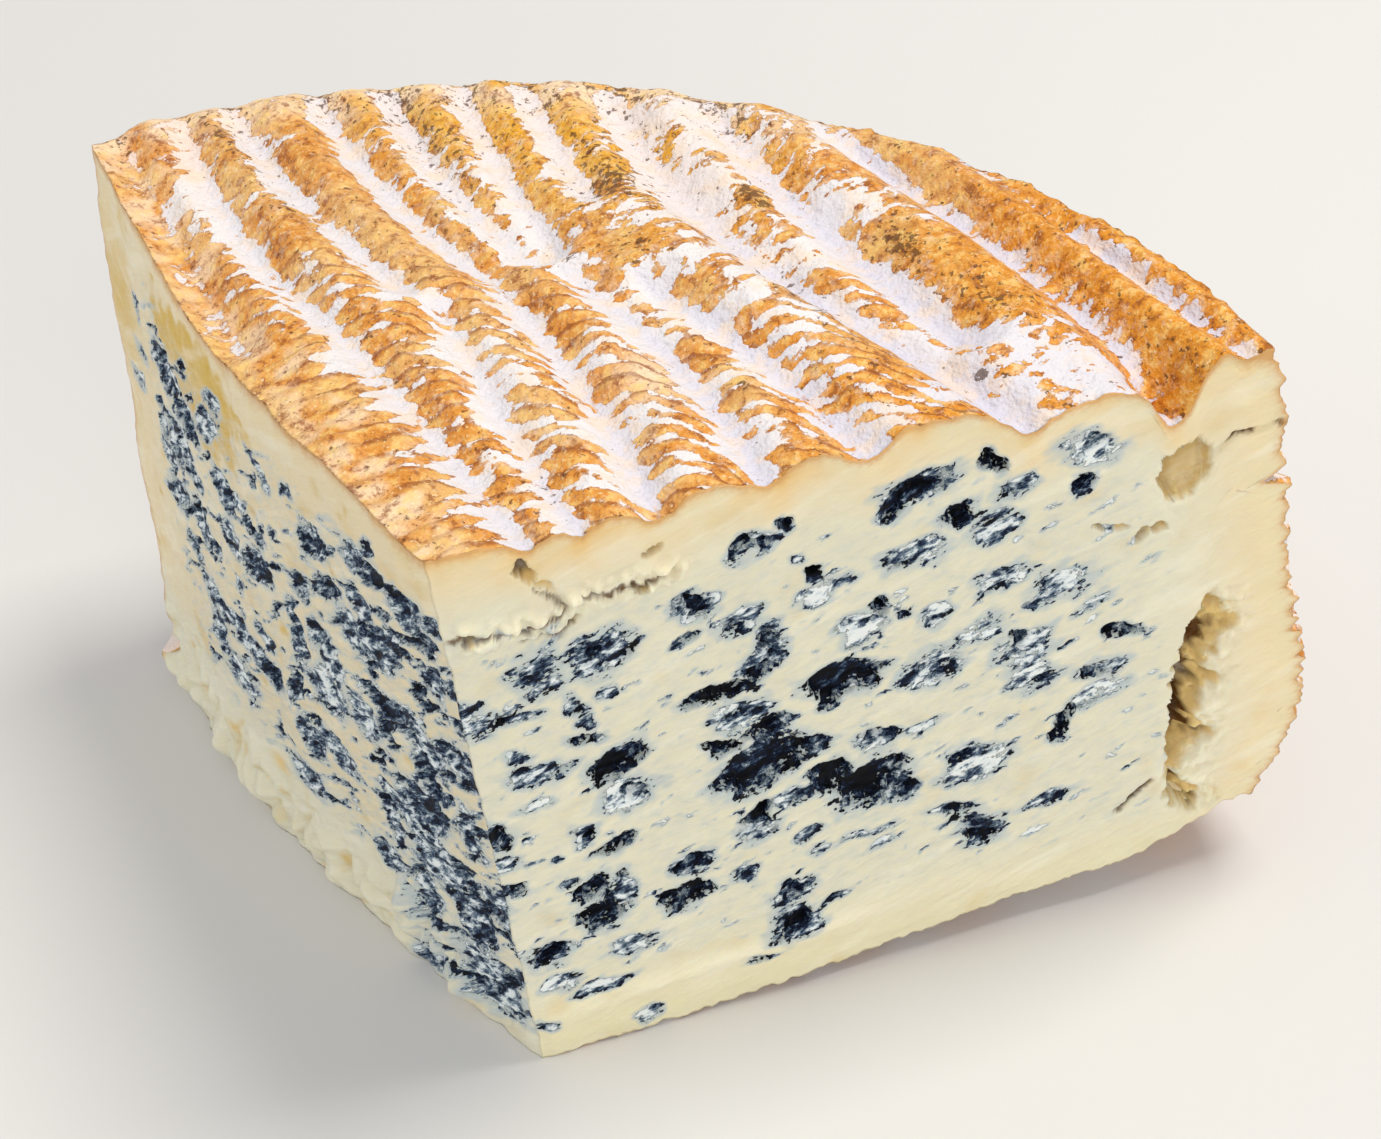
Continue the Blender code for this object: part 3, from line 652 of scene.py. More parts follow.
def wall(edge, positions):
    """A side wall's grid: columns follow the edge, rows go up from the base to the top."""
    share = np.linspace(0, 1, ROWS + 1)[None, :] + 0 * positions[:, None]
    plan = edge(positions[:, None] + 0 * share, share)
    low = base_surface(plan[:, 0, 0], plan[:, 0, 1])
    high = top_surface(plan[:, -1, 0], plan[:, -1, 1])
    height = low[:, None] + share * (high - low)[:, None]
    return np.dstack([plan, height]), share


# ---- Mould -------------------------------------------------------------------------------------------


def streak_places(along, height, tilt):
    """The same points measured along and across the knife's streaks."""
    cos, sin = math.cos(tilt), math.sin(tilt)
    return along * cos + height * sin, height * cos - along * sin


def pocket_fields(along, height, pockets, tilt, seed):
    """Three fields of a cut face: the mould's blue-grey film, its hollows, whose black is partly dark mould and partly
    painted shade, and its pale flakes.

    Film covers a place from about 0.45 up, a hollow opens from about 0.5 up, and so does a flake.
    """
    streak, across = streak_places(along, height, tilt)
    warp_x = 0.9 * fractal(streak * 0.6, across, 3.0, 3, seed)
    warp_y = 0.7 * fractal(streak * 0.6, across, 3.0, 3, seed + 5)
    x, y = along + warp_x, height + warp_y
    film = np.full(along.shape, -1.0)
    hollow = np.full(along.shape, -1.0)
    pale_here = np.zeros(along.shape)
    for pocket_x, pocket_y, length, width, angle, dark, pale in pockets:
        cos, sin = math.cos(math.radians(angle)), math.sin(math.radians(angle))
        over, up = x - pocket_x, y - pocket_y
        reach = POCKET_REACH / 2
        q = ((over * cos + up * sin) / (length * reach)) ** 2
        inside = 1 - q - ((up * cos - over * sin) / (width * reach)) ** 2
        pale_here = np.where(inside > film, pale, pale_here)
        film = np.maximum(film, inside * (0.55 + 0.42 * dark))
        hollow = np.maximum(hollow, 0.5 * np.maximum(inside, -0.5) + 1.7 * (dark - 0.9) + 0.10)
    film = film + 0.30 * fractal(streak * 0.5, across, 1.6, 3, seed + 11)
    hollow = hollow + 0.34 * fractal(streak * 0.45, across, 1.9, 3, seed + 31)
    hollow = np.minimum(hollow, film)
    flake = 0.05 + 0.42 * pale_here + 0.36 * fractal(streak * 0.5, across, 1.8, 3, seed + 21)
    flake = flake - 0.6 * smoothstep((0.5 - film) / 0.2)
    return film, hollow, flake


def crack_field(along, height, points, width):
    """1 on a line of cracks, falling to 0 at this half width."""
    nearest = np.full(along.shape, 99.0)
    x = along + 0.6 * fractal(along, height, 2.5, 3, 301)
    y = height + 0.6 * fractal(along, height, 2.5, 3, 307)
    for (x0, y0), (x1, y1) in zip(points, points[1:]):
        run_x, run_y = x1 - x0, y1 - y0
        share = ((x - x0) * run_x + (y - y0) * run_y) / (run_x**2 + run_y**2)
        share = np.clip(share, 0, 1)
        nearest = np.minimum(nearest, np.hypot(x - x0 - share * run_x, y - y0 - share * run_y))
    return smoothstep(1 - nearest / width)


def crevice_depth(along, height):
    """Depth of the long crevice, which has a sharp left lip and a slope that rises to its right."""
    y = height + 0.7 * fractal(along, height, 2.4, 3, 317)
    x = along + 0.7 * fractal(along, height, 1.8, 3, 311)
    heights, middles, widths = zip(*CREVICE)
    width = np.interp(y, heights, widths)
    from_lip = x - np.interp(y, heights, middles) + width / 2
    slope = np.clip(1 - from_lip / (1.3 * width + 0.01), 0, 1) ** 0.8
    return CREVICE_DEPTH * smoothstep(width / 2.6) * smoothstep(from_lip / 0.6) * slope


def hole_fields(along, height):
    """Depth in millimetres and painted shade of the bare openings, both greatest at the upper left of each."""
    depth, darkness = np.zeros(along.shape), np.zeros(along.shape)
    x = along + 0.55 * fractal(along, height, 1.8, 3, 331)
    y = height + 0.55 * fractal(along, height, 1.8, 3, 337)
    for hole_x, hole_y, length, width, angle, deep, dark in RIGHT_HOLES:
        cos, sin = math.cos(math.radians(angle)), math.sin(math.radians(angle))
        over, up = x - hole_x, y - hole_y
        q = ((over * cos + up * sin) / (length / 2)) ** 2 + ((up * cos - over * sin) / (width / 2)) ** 2
        lower_right = (over - up) / length
        inside = smoothstep(2.0 * (1.1 - q))
        depth = np.maximum(depth, deep * np.clip(0.75 - 0.35 * lower_right, 0.3, 1) * inside)
        # Painted shade, strongest at the upper left of each opening.
        darkness = np.maximum(darkness, dark * np.clip(0.7 - 1.3 * lower_right, 0, 1) * inside)
    return depth, darkness


def border_fade(grid_share_x, grid_share_y, reach_x, reach_y):
    """0 on a sheet's border and 1 inside it."""
    near_x = np.minimum(grid_share_x, 1 - grid_share_x) / reach_x
    near_y = np.minimum(grid_share_y, 1 - grid_share_y) / reach_y
    return smoothstep(near_x) * smoothstep(near_y)


def blend(base, colour, share):
    """Colours moved towards another one, by a share for each point."""
    return base + (colour - base) * np.clip(share, 0, 1)[..., None]


CREAM = srgb(229, 223, 197)
CREAM_LOW = srgb(238, 227, 186)
CREAM_RIM = srgb(240, 219, 174)
CREAM_LEFT = srgb(232, 215, 176)
YELLOW = srgb(216, 178, 80)
CREAM_CRUMB = srgb(246, 238, 208)
OCHRE = srgb(232, 200, 128)
# Dark ochre used as painted shade in the openings, deep in the crevice and along the cracks.
OCHRE_PAINTED_SHADE = srgb(92, 58, 18)
GLOW = srgb(240, 192, 116)
RIND_EDGE = srgb(214, 164, 104)


def mould_depth(film, hollow, flake, deepest):
    """How far each point of a cut face is sunk by its mould, in millimetres."""
    sunk = 0.15 * smoothstep((film - 0.35) / 0.3) + deepest * smoothstep((hollow - 0.36) / 0.34)
    return sunk * (1 - 0.85 * smoothstep((flake - 0.45) / 0.15))


def right_face():
    positions = np.linspace(0, 1, CELLS + 1)
    points, share = wall(right_edge, positions)
    u = positions[:, None] + 0 * share
    along = points[..., 0] * RIGHT_DIRECTION[0] + points[..., 1] * RIGHT_DIRECTION[1]
    height = points[..., 2]
    film, hollow, flake = pocket_fields(along, height, RIGHT_POCKETS, STREAK_TILT_RIGHT, 101)
    below_top = points[:, -1:, 2] - height
    from_rim = (1 - u) * RIGHT_CUT
    streak, across = streak_places(along, height, STREAK_TILT_RIGHT)
    zone = smoothstep((below_top - 6) / 5) * smoothstep((from_rim - 10) / 6) * smoothstep((height - 8) / 6)
    specks = smoothstep((fractal(streak * 0.4, across, 1.6, 3, 131) - 0.56) / 0.3) * zone
    film = np.maximum(film, 0.25 * zone - 0.5 + 0.9 * specks)
    sunk = mould_depth(film, hollow, flake, POCKET_DEPTH)
    crevice = crevice_depth(along, height)
    hole, hole_painted_shade = hole_fields(along, height)
    bare = np.maximum(crevice, hole)
    cracks = np.zeros(along.shape)
    for line, depth in RIGHT_CRACKS:
        cracks = np.maximum(cracks, depth * crack_field(along, height, line, 0.6))
    smears = 0.10 * fractal(streak * 0.25, across, 1.8, 3, 141)
    seam = crack_field(along, height, RIGHT_CRACKS[0][0], 2.6)
    heights, middles, _ = zip(*CREVICE)
    past_lip = along - np.interp(height, heights, middles) + 1.5
    slope = smoothstep(past_lip / 1.5) * smoothstep((8 - past_lip) / 5)
    slope = slope * smoothstep((43 - height) / 5) * smoothstep((height - 7) / 4)
    lumps = np.abs(noise(along, height, 2.6, 151)) + 0.5 * np.abs(noise(along, height, 1.3, 153))
    crumbly = np.maximum(0.7 * smoothstep(seam * 1.4), slope)
    foot = blob(along, height, 20, 7.6, 46, 3.4, 3)
    sunk = sunk + bare + cracks - smears - 2.2 * lumps * crumbly + 1.3 * slope - 0.5 * foot
    sunk = sunk * border_fade(u, share, 0.03, 0.03)
    points[..., :2] -= sunk[..., None] * RIGHT_OUTWARD

    paste = CREAM + 0 * points
    paste = blend(paste, CREAM_LOW, smoothstep((14 - height) / 12) * 0.8)
    paste = blend(paste, CREAM_RIM, smoothstep((12 - from_rim) / 10) * 0.8)
    paste = blend(paste, CREAM_RIM, smoothstep((9 - below_top) / 8) * 0.75)
    glow = np.exp(-below_top / 1.9) * (0.5 + 0.4 * smoothstep((26 - along) / 12) + fractal(along, height, 6.0, 2, 167))
    paste = blend(paste, GLOW, glow)
    paste = blend(paste, CREAM_CRUMB, foot * 0.8 + crumbly * 0.5)
    paste = blend(paste, YELLOW, 0.3 * smoothstep(fractal(along, height, 6, 2, 161) - 0.35))
    paste = blend(paste, OCHRE, smoothstep((0.16 - lumps) / 0.16) * slope * 0.8)
    paste = blend(paste, OCHRE, smoothstep(bare / 0.9) * 0.9)
    # Painted shade at the upper left of the openings.
    paste = blend(paste, OCHRE_PAINTED_SHADE, hole_painted_shade)
    # Painted shade deep in the crevice.
    shade = smoothstep((crevice - 1.4 + 2.6 * fractal(along, height, 3.4, 3, 163)) / 2.0)
    paste = blend(paste, OCHRE_PAINTED_SHADE, shade * smoothstep(crevice / 1.2))
    # Painted shade along the cracks.
    broken = smoothstep(0.9 + 1.6 * fractal(along, height, 3.0, 2, 165))
    paste = blend(paste, OCHRE_PAINTED_SHADE, 0.95 * smoothstep((cracks - 0.16) / 0.26) * broken)
    fields = {
        "film": film,
        "hollow": hollow,
        "flake": flake,
        "rind_near": np.exp(-below_top / 0.9) + 0.8 * np.exp(-from_rim / 1.1),
        "inside": border_fade(u, share, 0.025, 0.025),
        "paste": paste,
        "streak": np.stack([streak, across, sunk], axis=-1),
    }
    return points, fields


def left_face():
    positions = np.linspace(0, 1, CELLS + 1)
    points, share = wall(left_edge, positions)
    u = positions[:, None] + 0 * share
    along = points[..., 0] * LEFT_DIRECTION[0] + points[..., 1] * LEFT_DIRECTION[1]
    height = points[..., 2]
    film, hollow, flake = pocket_fields(-along, height, mirrored(LEFT_POCKETS), STREAK_TILT_LEFT, 201)
    below_top = points[:, -1:, 2] - height
    from_rim = (1 - u) * LEFT_CUT
    streak, across = streak_places(-along, height, STREAK_TILT_LEFT)
    zone = smoothstep((below_top - 5) / 5) * smoothstep((from_rim - 10) / 8) * smoothstep((height - 9) / 8)
    front = smoothstep((28 - along) / 14)
    zone = np.maximum(zone, front * smoothstep((below_top - 8) / 4) * smoothstep((height - 2) / 4))
    specks = fractal(streak * 0.3, across, 2.2, 4, 231) + 0.36 * front
    film = np.maximum(film + 0.2 * zone, zone * (0.30 + 0.9 * smoothstep((specks - 0.15) / 0.5)) - 0.5)
    hollow = np.maximum(hollow - 0.35, zone * smoothstep((specks - 0.3) / 0.5) - 0.7)
    hollow, flake = 0.13 + 0.4 * hollow, 0.25 * flake
    sunk = mould_depth(film, hollow + 0.3, flake, 1.0)
    smears = 0.14 * fractal(streak * 0.25, across, 2.0, 3, 241)
    sunk = (sunk - smears) * border_fade(u, share, 0.03, 0.03) * smoothstep((height - 1.5) / 4)
    points[..., :2] -= sunk[..., None] * LEFT_OUTWARD

    paste = CREAM_LEFT + 0 * points
    paste = blend(paste, CREAM_RIM, smoothstep((12 - from_rim) / 10) * 0.6)
    paste = blend(paste, CREAM_RIM, smoothstep((6 - below_top) / 5) * 0.6)
    paste = blend(paste, CREAM, smoothstep((22 - height) / 12))
    patch = blob(along, height, 55, 59.5, 26, 15, -8) + 0.25 * fractal(along, height, 5, 3, 267)
    paste = blend(paste, YELLOW, smoothstep((patch - 0.12) / 0.25))
    paste = blend(paste, YELLOW, 0.8 * blob(along, height, 83, 54, 14, 20))
    paste = blend(paste, YELLOW, 0.5 * smoothstep(fractal(along, height, 7, 2, 261) - 0.2))
    paste = blend(paste, OCHRE, 0.9 * blob(along, height, 46.3, 11.3, 5, 2.6))
    crease = smoothstep((0.05 - knob_lumps(along, height)) / 0.3)
    paste = blend(paste, OCHRE, 0.4 * crease * smoothstep((11 - height) / 6) * (1 - front))
    fields = {
        "film": film,
        "hollow": hollow,
        "flake": flake,
        "rind_near": np.exp(-below_top / 1.5) + 0.8 * np.exp(-from_rim / 1.1),
        "inside": border_fade(u, share, 0.025, 0.025),
        "paste": paste,
        "streak": np.stack([streak, across, sunk], axis=-1),
    }
    return points, fields


def mirrored(pockets):
    """Pockets of the left cut face, measured along it from the left end towards the tip."""
    return [(-along, *rest) for along, *rest in pockets]


# ---- The rind's colours -------------------------------------------------------------------------------

TAN = srgb(228, 178, 110)
FRONT_ORANGE = srgb(220, 144, 54)
PALE_TAN = srgb(246, 216, 178)
RUST = srgb(142, 70, 22)
OLIVE_GOLD = srgb(190, 132, 50)
GOLD = srgb(232, 166, 38)
DEEP_ORANGE = srgb(222, 144, 38)
WHITE_BLOOM = srgb(232, 226, 223)
# The bloom in painted shade: a cool lavender for the valleys and the right-hand side.
PAINTED_SHADE_BLOOM = srgb(212, 208, 220)
PINK_BLOOM = srgb(240, 218, 204)

# Places where there is more orange or more bloom than elsewhere: (x, y, length, width, tilt, amount)
COVER_PATCHES = [
    (-24, 43.5, 34, 8, -33, 0.6),
    (-31, 41, 30, 8, -33, 0.5),
    (-50, 62, 44, 26, -42, 0.15),
    (-24, 70, 34, 22, -45, 0.2),
    (-34, 24, 60, 5, -38, 0.4),
    (-3, 66, 30, 22, -50, -0.65),
    (8.3, 61, 7, 5, -45, 1.3),
    (25.5, 57, 8, 5, -45, 1.2),
    (-8, 61, 12, 9, -50, 0.6),
    (14, 49, 40, 22, -32, -0.65),
    (12, 27, 52, 22, -36, -0.25),
    (8.3, 52.5, 16, 3.4, -25, 1.1),
    (-0.4, 48.6, 9, 5, -15, 1.0),
    (20.7, 43.9, 18, 6, -32, 0.8),
    (17, 64, 30, 8, -42, -0.35),
    (35, 52, 16, 8, -40, 0.9),
    (50, 60, 50, 9, -38, 0.15),
    (47, 42.5, 28, 9, -24, -1.0),
    (9.2, 30.5, 10, 7, -40, 0.8),
    (6.3, 14.2, 11, 7, -40, 0.5),
    (8.4, 10.3, 6, 4, -40, -0.9),
    (-53, 45, 15, 8, -42, -1.1),
    (-24, 40, 8, 3, -35, -0.8),
    (-32, 38.5, 9, 3, -40, -0.9),
]
# Brown to black patches: (x, y, length, width, tilt, amount)
DARK_PATCHES = [
    (8.3, 61, 8, 5, -45, 1.0),
    (25.5, 57, 8, 5, -40, 1.1),
    (37, 50.5, 12, 6, -35, 0.5),
    (-8, 60, 12, 9, -45, 0.8),
    (-6.3, 46.5, 2.6, 1.5, 30, 1.6),
    (38.7, 40.3, 1.6, 1.3, 0, 2.4),
    (19, 45, 18, 6, -32, 0.8),
    (0, 48, 11, 5, 0, 0.5),
    (10, 52, 24, 5, -25, 0.4),
    (15, 34, 14, 5, -40, 0.3),
    (-43, 51, 26, 6, -40, 0.55),
    (-55, 60, 20, 6, -42, 0.5),
    (-30, 62, 30, 10, -42, 0.4),
    (62, 58, 40, 4, -38, 0.4),
    (5.4, 14, 8, 4, -30, 0.6),
]


def patches(x, y, listed):
    return sum(amount * blob(x, y, px, py, length, width, tilt) for px, py, length, width, tilt, amount in listed)


def rind_fields(x, y):
    """What the rind's material needs at each point of the top."""
    before, after = ridge_place(x, y)
    crest = 4 * before * after / (before + after + 0.01) ** 2
    right = smoothstep((x - 18) / 22)
    uphill = smoothstep((before + 0.1) / (1.5 + 3.2 * right))
    downhill = smoothstep((after - 0.1) / (3.6 - 2.2 * right))
    cover = -0.36 + 1.34 * uphill * downhill + patches(x, y, COVER_PATCHES)
    cover = cover + (0.4 + 0.6 * stripiness(x, y)) * fractal(x, y, 6.5, 3, 171) - 0.02 * (1 - stripiness(x, y))
    cover = cover + 0.8 * right * smoothstep((13 - inside_rim(x, y)) / 4)
    from_right = -(x * RIGHT_OUTWARD[0] + y * RIGHT_OUTWARD[1])
    from_left = -(x * LEFT_OUTWARD[0] + y * LEFT_OUTWARD[1])
    cover = cover + (0.5 - 0.4 * right) * np.exp(-np.maximum(from_right, 0) / 1.6)
    cover = np.maximum(cover, 0.20 - 0.6 * stripiness(x, y))
    strip = smoothstep((5.0 - from_left + 3 * fractal(x, y, 5.0, 2, 173)) / 3)
    cover = cover + 1.0 * strip
    cover = cover + 0.8 * smoothstep(1 - inside_rim(x, y) / 3.0)
    back = smoothstep((y - 44 + 0.3 * x) / 18) * smoothstep((16 - x) / 20)
    orange = FRONT_ORANGE + 0 * np.stack([x, x, x], axis=-1)
    orange = blend(orange, TAN, 0.9 * smoothstep(fractal(x, y, 9.0, 2, 181) + 0.3))
    orange = blend(orange, GOLD, back * smoothstep(1.1 + 1.2 * fractal(x, y, 7.0, 2, 183)))
    orange = blend(orange, DEEP_ORANGE, right)
    orange = blend(orange, PALE_TAN, 0.8 * strip * smoothstep(0.55 + 1.4 * fractal(x, y, 4.0, 2, 185)))
    near_rim = smoothstep((9 - inside_rim(x, y)) / 6) * smoothstep((18 - x) / 20)
    orange = blend(orange, PALE_TAN, near_rim * smoothstep(0.8 + fractal(x, y, 6.0, 2, 187)))
    orange = blend(orange, PALE_TAN, blob(x, y, 9.2, 30.5, 11, 7, -40))
    orange = blend(orange, TAN, blob(x, y, -27, 44.5, 30, 10, -30) + blob(x, y, -34, 24, 60, 5, -38))
    orange = blend(orange, OLIVE_GOLD, 0.6 * patches(x, y, DARK_PATCHES))
    bloom = WHITE_BLOOM + 0 * orange
    # Painted shade: the bloom turns lavender in the valleys between ridges and towards the right.
    bloom = blend(bloom, PAINTED_SHADE_BLOOM, (1 - crest) * (0.45 + 0.55 * smoothstep((x + 14) / 40)))
    bloom = blend(bloom, PAINTED_SHADE_BLOOM, 0.45 * right)
    far_left = smoothstep((-48 - x) / 14) * smoothstep((y - 46) / 8)
    bloom = blend(bloom, PINK_BLOOM, np.maximum(far_left, 0.35 * back))
    fields = {
        "phase": stripe_phase(x, y),
        "cover": cover,
        "stripy": stripiness(x, y) * (1 - 0.7 * strip),
        # dark holds the brown patches and spots, plus painted shade in the troughs near the back rim.
        "dark": patches(x, y, DARK_PATCHES) + 0.35 * back + 0.18 * right + 0.7 * near_rim * (1 - crest),
        "orange": orange,
        "bloom": bloom,
        "streak": np.stack([*streak_places(x, y, RIDGE_DIRECTION), 0 * x], axis=-1),
    }
    return fields


def top_rind():
    plan = top_patch()
    x, y = plan[..., 0], plan[..., 1]
    points = np.dstack([plan, top_surface(x, y)])
    fields = rind_fields(x, y)
    shares = np.linspace(0, 1, CELLS + 1)
    fields["inside"] = border_fade(shares[:, None], shares[None, :], 0.02, 0.02)
    return points, fields


def rim_rind(t_start, t_end):
    positions = np.linspace(t_start, t_end, CELLS + 1)
    points, share = wall(rim, positions)
    t = positions[:, None] + 0 * share
    arc, height = t * 140.0, points[..., 2]
    bands = fractal(arc * 0.2, height, 5.0, 3, 191)
    cover = 0.62 + 0.45 * fractal(arc, height, 9.0, 4, 193) + 0.3 * bands
    cover = cover - 0.35 * smoothstep((10 - height) / 8)
    bare_corner = smoothstep(1 - t / 0.12 + 0.3 * fractal(arc, height, 6.0, 2, 207))
    cover = cover - 1.2 * bare_corner * smoothstep((34 - height) / 26)
    orange = DEEP_ORANGE + 0 * points
    orange = blend(orange, RUST, 0.15 + 0.7 * fractal(arc, height, 7.0, 3, 195))
    orange = blend(orange, TAN, 0.8 * smoothstep(0.3 + fractal(arc, height, 11.0, 2, 197)))
    bloom = blend(WHITE_BLOOM + 0 * points, PINK_BLOOM, 0.6 + fractal(arc, height, 12.0, 2, 199))
    fields = {
        "phase": 0.8 * height + 2.0 * fractal(arc, height, 9.0, 3, 203),
        "cover": cover,
        "stripy": 0.35 + 0 * cover,
        "dark": 0.05 + 0.5 * fractal(arc, height, 10.0, 2, 205),
        "orange": orange,
        "bloom": bloom,
        "streak": np.stack([height, arc, 0 * arc], axis=-1),
        "inside": border_fade((positions[:, None] - t_start) / (t_end - t_start) + 0 * share, share, 0.01, 0.02),
    }
    return points, fields


def base_rings():
    """Rings of points from the base's border in to its middle, going round the wedge."""
    u = np.linspace(0, 1, CELLS + 1)
    ground = 0 * u
    border = np.concatenate(
        [
            right_edge(u, ground)[:-1],
            rim(1 - 0.5 * u, ground)[:-1],
            rim(0.5 - 0.5 * u, ground)[:-1],
            left_edge(1 - u, ground)[:-1],
        ]
    )
    rings = MIDDLE[:2] + np.array(BASE_RINGS)[:, None, None] * (border - MIDDLE[:2])
    return np.dstack([rings, base_surface(rings[..., 0], rings[..., 1])])


# ---- Meshes -------------------------------------------------------------------------------------------


def grid_faces(count_x, count_y):
    index = np.arange(count_x * count_y).reshape(count_x, count_y)
    quads = [index[:-1, :-1], index[1:, :-1], index[1:, 1:], index[:-1, 1:]]
    border = np.concatenate([index[:-1, 0], index[-1, :-1], index[:0:-1, -1], index[0, :0:-1]])
    return np.stack(quads, axis=-1).reshape(-1, 4), border


def ring_faces(count_rings, count):
    index = np.arange(count_rings * count).reshape(count_rings, count)
    index = np.concatenate([index, index[:, :1]], axis=1)
    quads = [index[:-1, :-1], index[:-1, 1:], index[1:, 1:], index[1:, :-1]]
    return np.stack(quads, axis=-1).reshape(-1, 4), index[0, :-1]


def to_frame(points):
    """Points in the frame, in metres, from the wedge's own millimetres."""
    return (points + TIP) * MM


def add_attribute(mesh, name, values):
    values = np.asarray(values, dtype=np.float32)
    if values.ndim == 1:
        mesh.attributes.new(name, "FLOAT", "POINT").data.foreach_set("value", values)
        return
    if name == "streak":
        layer = mesh.attributes.new(name, "FLOAT_VECTOR", "POINT")
        layer.data.foreach_set("vector", values.ravel())
        return
    layer = mesh.attributes.new(name, "FLOAT_COLOR", "POINT")
    colours = np.column_stack([values, np.ones(len(values), np.float32)])
    layer.data.foreach_set("color", colours.ravel())


UV_STRIP = 0.02
HEM_IN = 7.0
HEM_DEEP = 9.0


def hem_of(border):
    """The border moved inside the wedge: in towards the middle, and away from the top and the base."""
    inward = MIDDLE[:2] - border[:, :2]
    inward = HEM_IN * inward / np.linalg.norm(inward, axis=1, keepdims=True)
    level = np.clip(2 * border[:, 2] / HEIGHT - 1, -1, 1)
    return border + np.column_stack([inward, -HEM_DEEP * level**5])


def bake_map(mesh, flat, quads, count):
    """Lays the sheet out flat, with the hem's and the closing faces in two strips below it."""
    low, high = flat.min(axis=0), flat.max(axis=0)
    placed = (flat - low) / (high - low) * (1, 1 - 4 * UV_STRIP) + (0, 4 * UV_STRIP)
    start = np.arange(count)[:, None]
    hem_over, hem_up = start + [0.9, 0.1, 0.1, 0.9] + 0 * start, np.array([3.0, 3.0, 2.2, 2.2]) + 0 * start
    fan_over, fan_up = start + [0.9, 0.1, 0.5] + 0 * start, np.array([1.6, 1.6, 0.4]) + 0 * start
    hem = np.stack([hem_over / count, hem_up * UV_STRIP], axis=-1)
    fan = np.stack([fan_over / count, fan_up * UV_STRIP], axis=-1)
    corners = [part.reshape(-1, 2) for part in (placed[quads], hem, fan)]
    layer = mesh.uv_layers.new(name="OFBake")
    layer.data.foreach_set("uv", np.concatenate(corners).ravel().astype(np.float32))


def build_piece(name, points, faces, border, flat, fields, material):
    """A closed piece: a fine sheet, a hem inside its border, and plain faces to the middle of the wedge."""
    outer, count = points.reshape(-1, 3), len(border)
    vertices = np.concatenate([outer, hem_of(outer[border]), MIDDLE[None]])
    hem = len(outer) + np.arange(count)
    after, hem_after = np.roll(border, -1), np.roll(hem, -1)
    sides = np.column_stack([after, border, hem, hem_after])
    closing = np.column_stack([hem_after, hem, np.full(count, len(outer) + count)])
    corners = outer[faces]
    facing = np.cross(corners[:, 2] - corners[:, 0], corners[:, 3] - corners[:, 1])
    if (facing * (corners.mean(axis=1) - MIDDLE)).sum() < 0:
        faces, sides, closing = faces[:, ::-1], sides[:, ::-1], closing[:, ::-1]
    mesh = bpy.data.meshes.new(name)
    mesh.from_pydata(to_frame(vertices).tolist(), [], faces.tolist() + sides.tolist() + closing.tolist())
    smooth = np.arange(len(faces) + 2 * count) < len(faces)
    mesh.polygons.foreach_set("use_smooth", smooth)
    bake_map(mesh, flat.reshape(-1, 2), faces, count)
    for field, values in fields.items():
        values = values.reshape(len(outer), -1).squeeze()
        add_attribute(mesh, field, np.concatenate([values, values[border], values[:1]]))
    mesh.materials.append(material)
    piece = bpy.data.objects.new(name, mesh)
    bpy.context.scene.collection.objects.link(piece)
    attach(piece, BODY)
    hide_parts(NODE)
    return piece


def grid_piece(name, sheet, material, flat=None):
    points, fields = sheet
    faces, border = grid_faces(*points.shape[:2])
    if flat is None:
        shares = [np.linspace(0, 1, count) for count in points.shape[:2]]
        flat = np.stack(np.meshgrid(*shares, indexing="ij"), axis=-1)
    return build_piece(name, points, faces, border, flat, fields, material)


# ---- Materials ----------------------------------------------------------------------------------------


